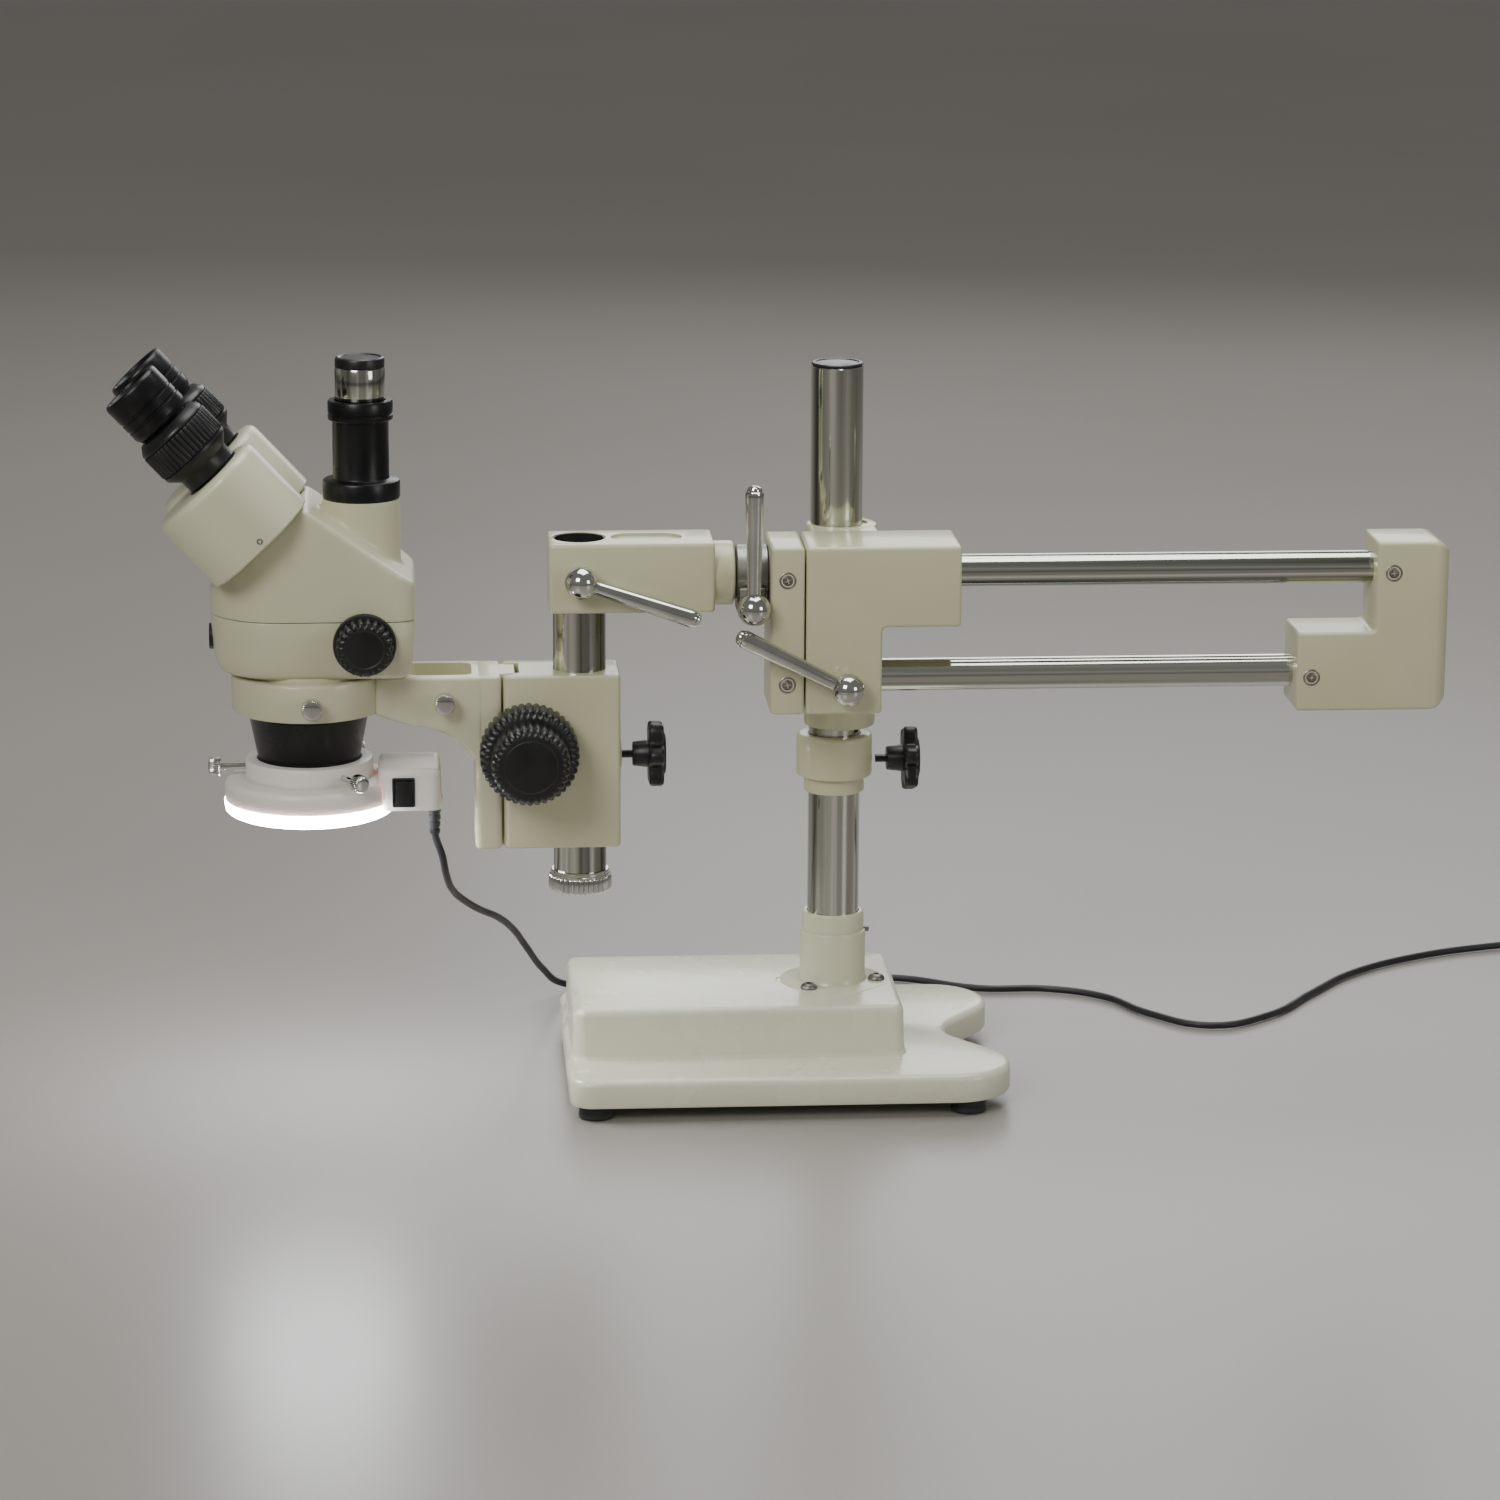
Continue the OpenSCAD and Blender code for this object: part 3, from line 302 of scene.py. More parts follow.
dark("black_knob", (0.004, 0.004, 0.0045), (0.008, 0.008, 0.0085), 0.30, 0.16, 1500, 0.02)
dark("black_anodised", (0.003, 0.003, 0.0035), (0.007, 0.007, 0.008), 0.26, 0.14, 2200, 0.01, 0.35)
dark("black_rubber", (0.005, 0.005, 0.005), (0.010, 0.010, 0.0095), 0.58, 0.2, 1100, 0.05, 0, 0.15)
dark("lead_rubber", (0.004, 0.004, 0.0045), (0.008, 0.008, 0.0085), 0.38, 0.14, 1300, 0.02, 0, 0.05)


def lit(slot, colour, strength, gloss):
    made, shader = finish(slot, 0.0, gloss)
    frost = grain(made, 700, 2)
    tone = shades(made, frost, (0.3, tuple(c * 0.94 for c in colour)), (0.7, colour))
    made.node_tree.links.new(tone, shader.inputs["Base Color"])
    made.node_tree.links.new(tone, shader.inputs["Emission Color"])
    shader.inputs["Emission Strength"].default_value = strength
    rough = shades(made, grain(made, 300, 3), (0.3, gloss - 0.08), (0.7, gloss + 0.08))
    made.node_tree.links.new(rough, shader.inputs["Roughness"])
    relief(made, shader, frost, 0.02, 0.4)
    finishes[slot] = made
    return made


lit("light_lens", (0.95, 0.985, 1.0), 48.0, 0.42)
lit("lamp_glass", (0.98, 0.99, 1.0), 4.0, 0.30)

plastic, plastic_shader = finish("light_plastic", 0.0, 0.36)
moulded = shades(
    plastic, grain(plastic, 14, 3), (0.35, (0.84, 0.79, 0.75)), (0.7, (0.88, 0.835, 0.80))
)
# Hollows and inner corners, where pointiness is low, are painted darker.
darker_hollow_mask = shades(plastic, edges(plastic), (0.43, 0.0), (0.49, 1.0))
plastic.node_tree.links.new(
    mixed(plastic, darker_hollow_mask, (0.52, 0.48, 0.43), moulded), plastic_shader.inputs["Base Color"]
)
plastic.node_tree.links.new(
    shades(plastic, grain(plastic, 60, 3), (0.3, 0.30), (0.7, 0.44)),
    plastic_shader.inputs["Roughness"],
)
relief(plastic, plastic_shader, grain(plastic, 1700, 2), 0.02, 0.5)
plastic_shader.inputs["Subsurface Weight"].default_value = 0.06
plastic_shader.inputs["Subsurface Scale"].default_value = 0.004
finishes["light_plastic"] = plastic

glass, glass_shader = finish("optical_glass", 0.0, 0.03)
bloom = shades(glass, grain(glass, 25, 2), (0.3, (0.30, 0.36, 0.46)), (0.7, (0.44, 0.40, 0.52)))
glass.node_tree.links.new(bloom, glass_shader.inputs["Base Color"])
glass.node_tree.links.new(
    shades(glass, grain(glass, 160, 3), (0.4, 0.02), (0.8, 0.07)), glass_shader.inputs["Roughness"]
)
relief(glass, glass_shader, grain(glass, 300, 2), 0.003, 0.2)
glass_shader.inputs["Coat Weight"].default_value = 0.8
glass_shader.inputs["Transmission Weight"].default_value = 0.25
finishes["optical_glass"] = glass
print("finishes:", len(finishes))

# %% [markdown]
# ## Which finish and which body
# The record that comes with the engineering model says which finish each part takes, and which
# moving body it belongs to. `stands_for` uses that: the new piece takes the place, the body and
# the finish of the plain solids that it stands for.

# %% Ties between pieces and the model
finish_of = {part["node"]: part["material_slot"] for part in frame["record"]["subparts"]}
body_of = {
    node: body for body, nodes in frame["record"]["behaviour"]["bodies"].items() for node in nodes
}


ground_as = {
    "post": "upright_chrome", "focus_bar": "upright_chrome", "camera_sleeve": "upright_chrome",
    "boom_tubes": "level_chrome", "tube_set_screws": "dark_steel", "socket_screws": "dark_steel",
}


def stands_for(piece, *nodes, smooth=32):
    bpy.ops.object.select_all(action="DESELECT")
    bpy.context.view_layer.objects.active = piece
    piece.select_set(True)
    if piece.type == "MESH" and smooth:
        bpy.ops.object.shade_smooth_by_angle(angle=math.radians(smooth))
    if not piece.data.materials:
        piece.data.materials.append(finishes[ground_as.get(nodes[0], finish_of[nodes[0]])])
    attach(piece, body_of[nodes[0]])
    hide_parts(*nodes)
    return piece


def rides_with(piece, node, slot=None, smooth=32):
    slot = slot or finish_of[node]
    bpy.ops.object.select_all(action="DESELECT")
    bpy.context.view_layer.objects.active = piece
    piece.select_set(True)
    if piece.type == "MESH" and smooth:
        bpy.ops.object.shade_smooth_by_angle(angle=math.radians(smooth))
    if not piece.data.materials:
        piece.data.materials.append(finishes[slot])
    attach(piece, body_of[node])
    return piece


for node, solid in frame["nodes"].items():
    solid.data.materials.clear()
    solid.data.materials.append(finishes[finish_of[node]])
print("solids finished:", len(frame["nodes"]))

# %% [markdown]
# ## The mains lead
# A light lead like this is a round rubber cable 4.6 mm thick and about 1.8 m long. It leaves the
# switch box straight down, hangs to the desk in a slack curve, runs behind the base and on over
# the desk. A curve is the right tool: its points are the lead's centre line and its bevel is the
# rubber. The spare length is wound into a coil whose turns lie one diameter apart.

# %% The lead's route
gland_low, gland_high = span("cord_gland")
coil_middle = middle("cord_coil")
lead_d = 4.6
gland_x, gland_y = (gland_low.x + gland_high.x) / 2, (gland_low.y + gland_high.y) / 2
lead_route = [
    (gland_x, gland_y, gland_high.z - 8),
    (gland_x, gland_y, gland_low.z),
    (-243.5, -39, 151), (-241, -33.5, 137), (-237, -18, 123.5), (-229.5, 1, 111.5),
    (-220, 22, 100), (-208.6, 46, 88.5), (-198, 76, 72), (-188, 108, 50), (-177, 143, 26),
    (-163, 170, 8), (-140, 184, 2.4), (-105, 191, 2.4), (-55, 194, 2.4), (0, 195, 2.4),
    (62, 189, 2.4), (112, 162, 2.4), (158, 158, 2.4), (192, 138, 2.4), (216, 98, 2.4),
    (252, 68, 2.4), (292, 88, 2.4), (330, 138, 2.4), (366, 184, 2.4), (418, 222, 2.4),
    (470, 243, 2.5), (512, 251, 2.9), (531, 252, 3.0),
]


def ease(angle, start, low, high):
    """Goes smoothly from low to high over the 55 degrees after start."""
    t = max(0, min(1, (angle - start) / 55))
    return low + (high - low) * t * t * (3 - 2 * t)


def coil_point(angle):
    radius = ease(angle, 215, 27.4, 22.6) + ease(angle, 870, 0, 4.8) + ease(angle, 1175, 0, 4.8)
    height = 3.0 + ease(angle, 575, 0, 4.8) - ease(angle, 1355, 0, 4.8)
    a = math.radians(angle)
    return (coil_middle.x + radius * math.cos(a), coil_middle.y - radius * math.sin(a), height)


coil_route = [coil_point(-90 + 18 * k) for k in range(86)]
plug_low, plug_high = span("mains_plug")
plug_x = (plug_low.x + plug_high.x) / 2
tail_route = [(plug_x, plug_high.y + 8, 6.6), (plug_x, plug_high.y - 2, 10.4), (plug_x, plug_high.y - 8, 11)]
whole_route = [at(*p) for p in lead_route + coil_route + tail_route]
print("lead points:", len(whole_route), "coil points:", len(coil_route))

# %% The lead itself
lead_curve = bpy.data.curves.new("mains_lead", "CURVE")
lead_curve.dimensions = "3D"
lead_line = lead_curve.splines.new("BEZIER")
lead_line.bezier_points.add(len(whole_route) - 1)
for point, place in zip(lead_line.bezier_points, whole_route):
    point.co = place
    point.handle_left_type = point.handle_right_type = "AUTO"
lead_line.resolution_u = 6
lead_curve.bevel_depth = lead_d / 2000
lead_curve.bevel_resolution = 3
lead_curve.use_fill_caps = True
mains_lead = bpy.data.objects.new("mains_lead", lead_curve)
bpy.context.scene.collection.objects.link(mains_lead)
stands_for(mains_lead, "cord_tube", "cord_coil")
print("lead made of", len(lead_line.bezier_points), "points")

# %% [markdown]
# ## Ways of shaping
# Nearly every part here is cast, turned or extruded. A casting starts as an outline that is raised
# into a block, or as a stack of outlines when its edges are rounded. A turned part starts as half
# of its section, which is spun round an axis. Both start from a circle primitive whose corners
# are put in place. The work is done in millimetres and `settle` brings it into the scene.

# %% Helpers for shaping


def only(piece):
    bpy.ops.object.select_all(action="DESELECT")
    bpy.context.view_layer.objects.active = piece
    piece.select_set(True)


def outline(name, points):
    bpy.ops.object.select_all(action="DESELECT")
    bpy.ops.mesh.primitive_circle_add(vertices=len(points), radius=1, fill_type="NOTHING")
    piece = bpy.context.object
    piece.name = piece.data.name = name
    for corner, place in zip(piece.data.vertices, points):
        corner.co = place
    return piece


def face_outwards(piece):
    only(piece)
    bpy.ops.object.mode_set(mode="EDIT")
    bpy.ops.mesh.select_all(action="SELECT")
    bpy.ops.mesh.remove_doubles(threshold=0.0005)
    bpy.ops.mesh.normals_make_consistent(inside=False)
    bpy.ops.object.mode_set(mode="OBJECT")
    return piece


def raised(name, points, low, high):
    """An outline of (x, y) corners, filled and extruded from low to high."""
    piece = outline(name, [(x, y, low) for x, y in points])
    bpy.ops.object.mode_set(mode="EDIT")
    bpy.ops.mesh.select_all(action="SELECT")
    bpy.ops.mesh.edge_face_add()
    bpy.ops.mesh.extrude_region_move(TRANSFORM_OT_translate={"value": (0, 0, high - low)})
    bpy.ops.object.mode_set(mode="OBJECT")
    return face_outwards(piece)


def stacked(name, rings):
    """Outlines of (x, y, z) corners, one above the other, extruded each into the next."""
    piece = outline(name, rings[0])
    bpy.ops.object.mode_set(mode="EDIT")
    bpy.ops.mesh.select_all(action="SELECT")
    bpy.ops.mesh.edge_face_add()
    for below, above in zip(rings, rings[1:]):
        bpy.ops.mesh.extrude_region_move(TRANSFORM_OT_translate={"value": (0, 0, 0.0001)})
        bpy.ops.object.mode_set(mode="OBJECT")
        for corner in [v for v in piece.data.vertices if v.select]:
            near = min(range(len(below)), key=lambda k: (corner.co - Vector(below[k])).length)
            corner.co = above[near]
        bpy.ops.object.mode_set(mode="EDIT")
    bpy.ops.object.mode_set(mode="OBJECT")
    return face_outwards(piece)


def turned(name, section, steps=64):
    """Half a section of (radius, height) corners, spun round the upright axis."""
    piece = outline(name, [(radius, 0, height) for radius, height in section])
    bpy.ops.object.mode_set(mode="EDIT")
    if section[0][0] == 0 and section[-1][0] == 0:
        bpy.ops.mesh.select_all(action="DESELECT")
        bpy.ops.object.mode_set(mode="OBJECT")
        for k in (0, len(section) - 1):
            piece.data.vertices[k].select = True
        bpy.ops.object.mode_set(mode="EDIT")
        bpy.ops.mesh.delete(type="EDGE")
    bpy.ops.mesh.select_all(action="SELECT")
    bpy.ops.mesh.spin(steps=steps, angle=math.tau, center=(0, 0, 0), axis=(0, 0, 1))
    bpy.ops.object.mode_set(mode="OBJECT")
    return face_outwards(piece)


def modified(piece, kind, **settings):
    only(piece)
    modifier = piece.modifiers.new(kind.lower(), kind)
    for name, value in settings.items():
        setattr(modifier, name, value)
    bpy.ops.object.modifier_apply(modifier=modifier.name)
    return piece


def rounded(piece, width, steps=3, sharper_than=40):
    limit = math.radians(sharper_than)
    return modified(
        piece, "BEVEL", width=width, segments=steps, limit_method="ANGLE", angle_limit=limit
    )


def carved(piece, tool, how="DIFFERENCE"):
    modified(piece, "BOOLEAN", object=tool, operation=how, solver="EXACT")
    bpy.data.objects.remove(tool)
    return piece


def joined(name, *pieces):
    bpy.context.view_layer.update()
    only(pieces[0])
    for piece in pieces:
        piece.select_set(True)
    bpy.ops.object.join()
    pieces[0].name = pieces[0].data.name = name
    return pieces[0]


def settle(piece, place=(0, 0, 0), toward=(0, 0, 1), turn=0):
    """Puts a piece worked upright at the origin, in millimetres, into the scene."""
    only(piece)
    bpy.ops.object.transform_apply(location=True, rotation=True, scale=True)
    lean = Vector((0, 0, 1)).rotation_difference(Vector(toward)).to_matrix().to_4x4()
    spun = Matrix.Rotation(math.radians(turn), 4, "Z")
    piece.matrix_world = Matrix.Translation(at(*place)) @ lean @ spun @ Matrix.Scale(0.001, 4)
    bpy.ops.object.transform_apply(location=True, rotation=True, scale=True)
    return piece


def bow(x, y, radius, start, end, steps=8):
    """Corners along an arc, from start to end in degrees."""
    turns = [math.radians(start + (end - start) * k / steps) for k in range(steps + 1)]
    return [(x + radius * math.cos(a), y + radius * math.sin(a)) for a in turns]


def round_box(x0, x1, y0, y1, radius, steps=6):
    return (
        bow(x0 + radius, y0 + radius, radius, 180, 270, steps)
        + bow(x1 - radius, y0 + radius, radius, 270, 360, steps)
        + bow(x1 - radius, y1 - radius, radius, 0, 90, steps)
        + bow(x0 + radius, y1 - radius, radius, 90, 180, steps)
    )


print("shaping helpers ready")

# %% [markdown]
# ## The base
# The base is an iron casting: a thin slab with two lobes and a notch at its right end, and a
# raised block that carries the post. A pattern maker gives every outer edge a round and every
# inner corner a fillet. Here each outline is stacked with small insets, so that the top edges
# roll over and the foot of the block runs out into the slab.

# %% The slab and the block
slab_low, slab_high = span("base_casting")
lobe_x, lobe_r, notch_r, base_y = 68, 36, 30, (slab_low.y + slab_high.y) / 2
lobe_y = (slab_high.y - slab_low.y) / 2 - lobe_r
feet_high = span("base_feet")[1].z
slab_bottom, slab_top, block_top = slab_low.z, slab_low.z + 18, slab_high.z


def slab_outline(inset):
    touch = math.degrees(math.atan2(lobe_y, 33) - math.acos((lobe_r + notch_r) / math.hypot(lobe_y, 33)))
    x0, r = slab_low.x + inset, 14 - inset
    near, far = base_y - lobe_y, base_y + lobe_y
    return (
        bow(x0 + r, slab_low.y + 14, r, 180, 270, 8)
        + bow(lobe_x, near, lobe_r - inset, 270, 360 + touch, 18)
        + bow(lobe_x + 33, base_y, notch_r + inset, 180 + touch, 180 - touch, 18)
        + bow(lobe_x, far, lobe_r - inset, -touch, 90, 18)
        + bow(x0 + r, slab_high.y - 14, r, 90, 180, 8)
    )


def stack_of(shape, levels):
    return [[(x, y, z) for x, y in shape(inset)] for inset, z in levels]


slab = stacked(
    "slab",
    stack_of(slab_outline, [
        (2.0, slab_bottom), (0.7, slab_bottom + 0.5), (0, slab_bottom + 2),
        (0, slab_top - 4.6), (0.35, slab_top - 3), (1.3, slab_top - 1.4),
        (2.7, slab_top - 0.45), (4.6, slab_top),
    ]),
)
block_low_x, block_high_x, block_y = slab_low.x + 3, slab_low.x + 208, 63
block = stacked(
    "block",
    stack_of(
        lambda e: round_box(block_low_x + e, block_high_x - e, e - block_y, block_y - e, 9 - e, 8),
        [
            (-1.9, slab_top - 0.6), (-1.6, slab_top + 0.1), (-0.7, slab_top + 1.0),
            (-0.15, slab_top + 2.4), (0, slab_top + 4), (0.6, block_top - 5),
            (1.0, block_top - 3.2), (1.9, block_top - 1.5), (3.3, block_top - 0.4), (5.2, block_top),
        ],
    ),
)
recess = turned("recess", [(0, -0.8), (6.6, -0.8), (6.6, 5), (0, 5)], 40)
recess.location = (-29, 1, block_top)
block = carved(block, recess)
plug = turned("plug", [(0, -2), (6.2, -2), (6.2, -0.6), (5.8, -0.2), (0, -0.05)], 40)
plug.location = (-29, 1, block_top)
base = joined("base_cast", slab, block, plug)
stands_for(settle(base), "base_casting")
print("base corners:", len(base.data.vertices))

# %% [markdown]
# ### Feet
# Four moulded rubber feet screw up into the slab. Each has a small bell edge where it meets the
# desk and a groove round its middle. One foot is turned and copied, each copy with its own mesh.

# %% Rubber feet
foot = turned(
    "foot",
    [(0, 0), (9.6, 0), (10.6, 0.4), (11, 1.2), (10.7, 3), (10.1, 3.6), (10.1, 4.4), (10.4, 5),
     (10.4, feet_high - 8.2 if feet_high > 14 else 7.4), (9.8, 8.0), (0, 8.0)],
    40,
)
feet = []
for x, y in [(slab_low.x + 16, slab_low.y + 13.5), (slab_low.x + 16, slab_high.y - 13.5),
             (lobe_x + 8, slab_low.y + 14), (lobe_x + 8, slab_high.y - 14)]:
    copy = foot.copy()
    copy.data = foot.data.copy()
    bpy.context.scene.collection.objects.link(copy)
    copy.location = (x, y, 0)
    feet.append(copy)
bpy.data.objects.remove(foot)
feet = joined("rubber_feet", *feet)
stands_for(settle(feet), "base_feet")
print("feet:", 4)

# %% [markdown]
# ## The post and its socket
# The socket is a turned flange let into the block and held by three bolts. It has a stepped lip.
# The post is a ground tube with a broken edge, closed by a black cap. The bolts have round heads
# with a hexagon socket, cut here with a boolean because it is a clean, machined hole.

# %% Socket, post and cap
socket_high = span("post_socket")[1].z
post_r = (post_high.x - post_low.x) * 500
socket = turned(
    "socket",
    [(post_r + 0.3, block_top - 1), (33, block_top - 1), (33, block_top + 0.15),
     (32.5, block_top + 0.4), (23.2, block_top + 0.45), (21.6, block_top + 1.3),
     (20.7, block_top + 3), (20.4, block_top + 6), (20.4, socket_high - 13),
     (20.15, socket_high - 12.5), (19.5, socket_high - 12.3), (19.25, socket_high - 12),
     (19.2, socket_high - 1.4), (18.8, socket_high - 0.5), (18, socket_high),
     (post_r + 0.5, socket_high), (post_r + 0.3, socket_high - 0.3)],
    80,
)
stands_for(settle(socket), "post_socket")
post_tube = turned(
    "post_tube",
    [(0, post_low.z * 1000 + 0.2), (post_r - 0.5, post_low.z * 1000 + 0.2),
     (post_r, post_low.z * 1000 + 0.7), (post_r, post_high.z * 1000 - 0.6),
     (post_r - 0.5, post_high.z * 1000), (0, post_high.z * 1000)],
    96,
)
stands_for(settle(post_tube), "post")
cap_high = span("post_cap")[1].z
post_lid = turned(
    "post_lid",
    [(0, cap_high - 6), (12, cap_high - 6), (12, cap_high - 1.95), (15.4, cap_high - 1.95),
     (15.8, cap_high - 1.5), (15.8, cap_high - 0.7), (15.2, cap_high - 0.1), (13.4, cap_high),
     (12.8, cap_high - 0.5), (0, cap_high - 0.7)],
    64,
)
stands_for(settle(post_lid), "post_cap")
print("socket top", round(socket_high, 1), "post radius", round(post_r, 2))

# %% Bolts
bolt = turned(
    "bolt",
    [(0, -3), (2.5, -3), (2.5, 0), (5.0, 0), (5.3, 0.25), (5.3, 0.8), (4.9, 1.9), (3.9, 2.9),
     (2.7, 3.5), (0, 3.7)],
    32,
)
key = raised("key", [(2.1 * math.cos(math.radians(60 * k)), 2.1 * math.sin(math.radians(60 * k))) for k in range(6)], 1.4, 6)
bolt = carved(bolt, key)
bolts = []
for angle in (-127, -7, 113):
    copy = bolt.copy()
    copy.data = bolt.data.copy()
    bpy.context.scene.collection.objects.link(copy)
    a = math.radians(angle)
    copy.location = (27.5 * math.cos(a), 27.5 * math.sin(a), block_top + 0.4)
    copy.rotation_euler.z = a * 1.7
    bolts.append(copy)
bpy.data.objects.remove(bolt)
grub = turned("grub", [(0, 15), (1.9, 15), (1.9, 22.2), (1.5, 22.6), (1.0, 22.6), (0.9, 21.8), (0, 21.8)], 20)
grub.rotation_euler.y = math.radians(90)
grub.location = (0, 0, socket_high - 13)
bolts = joined("socket_bolts", *bolts, grub)
stands_for(settle(bolts, (0, 0, 0)), "socket_screws")
print("bolts:", 3)

# %% [markdown]
# ## Safety collar and star knobs
# The collar is a cream ring clamped below the boom housing, so that the boom can't drop. Its clamp
# is a black six-lobed star knob, and a second one clamps the focus body. The star is an outline
# whose radius dips six times, rounded all over, on a stepped hub. One function makes both.

# %% Collar
collar_low, collar_high = span("safety_collar")
collar = turned(
    "collar",
    [(post_r + 0.2, collar_low.z + 0.4), (post_r + 0.6, collar_low.z), (18.0, collar_low.z),
     (18.6, collar_low.z + 0.6), (18.6, collar_low.z + 9), (19.2, collar_low.z + 9.8),
     (22.3, collar_low.z + 10.1), (23.2, collar_low.z + 10.8), (23.5, collar_low.z + 12),
     (23.5, collar_high.z - 2.4), (23.1, collar_high.z - 1.1), (22.2, collar_high.z - 0.3),
     (21, collar_high.z), (post_r + 0.6, collar_high.z), (post_r + 0.2, collar_high.z - 0.4)],
    80,
)
stands_for(settle(collar), "safety_collar")
print("collar", round(collar_low.z, 1), "to", round(collar_high.z, 1))

# %% Star knobs


def star_knob(name, hub, star, stud, reach=21.2):
    def star_at(angle):
        return reach - 6.4 * ((1 - math.cos(6 * angle)) / 2) ** 1.25

    ring = [(star_at(a) * math.cos(a), star_at(a) * math.sin(a)) for a in
            (math.tau * k / 96 for k in range(96))]

    def drawn(inset):
        return [(x * (1 - inset / 20), y * (1 - inset / 20)) for x, y in ring]

    grip = stacked(name + "_grip", stack_of(drawn, [
        (3.2, hub), (1.2, hub + 0.3), (0.35, hub + 1.1), (0, hub + 2.4), (0, hub + star - 2.4),
        (0.35, hub + star - 1.1), (1.2, hub + star - 0.3), (3.2, hub + star),
    ]))
    core = turned(name + "_core", [
        (0, -stud), (2.5, -stud), (2.5, 0), (7, 0), (7.3, 0.4), (8.5, hub + 0.5),
        (9, hub + star - 1), (12.5, hub + star - 0.5), (12.7, hub + star + 0.5),
        (11.8, hub + star + 1.2), (9, hub + star + 1.25), (8.4, hub + star + 0.7),
        (0, hub + star + 0.6)], 48)
    return joined(name, grip, core)


knob_low, knob_high = span("collar_knob")
knob_middle = middle("collar_knob")
collar_star = star_knob("collar_star", 10, 8.8, 7)
stands_for(
    settle(collar_star, (knob_high.x - 20, knob_middle.y, knob_middle.z), (1, 0, 0), 12),
    "collar_knob",
)
clamp_low, clamp_high = span("body_clamp_knob")
clamp_middle = middle("body_clamp_knob")
clamp_star = star_knob("clamp_star", 9.5, 9.3, 9)
stands_for(
    settle(clamp_star, (clamp_high.x - 20, clamp_middle.y, clamp_middle.z), (1, 0, 0), 24),
    "body_clamp_knob",
)
print("star knobs reach", round(knob_high.x, 1), round(clamp_high.x, 1))

# %% [markdown]
# ## Boom housing, plate and end block
# These are sand castings with machined faces, all the same depth. The housing has an L-shaped
# front: long over the upper tube and short over the lower one, with a round sleeve at its back
# for the post. The side outline is raised along the depth and the edges are rounded after that.

# %% Housing
house_low, house_high = span("boom_housing")
plate_low, plate_high = span("front_plate")
tube_low, tube_high = span("boom_tubes")
tube_y, upper_z, lower_z, tube_r = middle("boom_tubes").y, tube_high.z - 10, tube_low.z + 10, 10
front_y, back_y = plate_low.y, plate_high.y
house_bottom = plate_low.z
step_z = house_bottom + 53
house_x, short_x, long_x = plate_high.x + 1, 21.5, house_high.x


def cast_block(name, corners, near, far, width=2.4):
    """A side outline of (x, z) corners raised from the near face to the far one."""
    block = raised(name, corners, -far, -near)
    rounded(block, width, 4, 40)
    block.rotation_euler.x = math.radians(90)
    only(block)
    bpy.ops.object.transform_apply(location=True, rotation=True, scale=True)
    return block


housing = cast_block(
    "housing",
    [(house_x, house_bottom), (short_x, house_bottom)]
    + [(x, z) for x, z in bow(short_x + 3.2, step_z - 3.2, 3.2, 180, 90, 5)]
    + [(long_x, step_z), (long_x, house_high.z), (house_x, house_high.z)],
    front_y, back_y,
)
web = cast_block("web", [(-18, house_bottom + 0.4), (24, house_bottom + 0.4), (24, house_high.z - 0.4), (-18, house_high.z - 0.4)], back_y - 4, 2)
sleeve = turned(
    "sleeve",
    [(post_r + 0.2, house_low.z + 0.5), (post_r + 0.7, house_low.z), (20.6, house_low.z),
     (21.6, house_low.z + 0.5), (22, house_low.z + 1.6), (22, house_high.z - 1.8),
     (21.5, house_high.z - 0.6), (20.4, house_high.z), (post_r + 0.7, house_high.z),
     (post_r + 0.2, house_high.z - 0.5)],
    80,
)
sleeve.location.x = 3
lip = turned("lip", [(10.3, -0.4), (13.2, -0.4), (13.2, 0.25), (12.6, 0.6), (10.9, 0.6), (10.3, 0.3)], 64)
lips = []
for x, z, way in ((long_x, upper_z, 1), (short_x, lower_z, 1)):
    copy = lip.copy()
    copy.data = lip.data.copy()
    bpy.context.scene.collection.objects.link(copy)
    copy.rotation_euler.y = math.radians(90 * way)
    copy.location = (x, tube_y, z)
    lips.append(copy)
bpy.data.objects.remove(lip)
bore = turned("bore", [(0, 0), (post_r + 0.2, 0), (post_r + 0.2, 600), (0, 600)], 64)
web = carved(web, bore)
housing = joined("housing_cast", housing, web, sleeve, *lips)
stands_for(settle(housing), "boom_housing")
print("housing from", round(house_x, 1), "to", round(long_x, 1))

# %% Front plate and end block
plate = cast_block(
    "plate_cast",
    [(plate_low.x, plate_low.z), (plate_high.x, plate_low.z), (plate_high.x, plate_high.z), (plate_low.x, plate_high.z)],
    front_y, back_y, 2.2,
)
stands_for(settle(plate), "front_plate")
end_low, end_high = span("end_block")
end_upper_x = end_high.x - 45.5
end_step = end_low.z + 48.7


def pick(piece, wanted):
    """Selects the edges whose two ends both pass, and goes into edit mode."""
    only(piece)
    bpy.ops.object.mode_set(mode="EDIT")
    bpy.ops.mesh.select_mode(type="EDGE")
    bpy.ops.mesh.select_all(action="DESELECT")
    bpy.ops.object.mode_set(mode="OBJECT")
    points = piece.data.vertices
    for edge in piece.data.edges:
        if all(wanted(points[k].co) for k in edge.vertices):
            edge.select = True
    bpy.ops.object.mode_set(mode="EDIT")


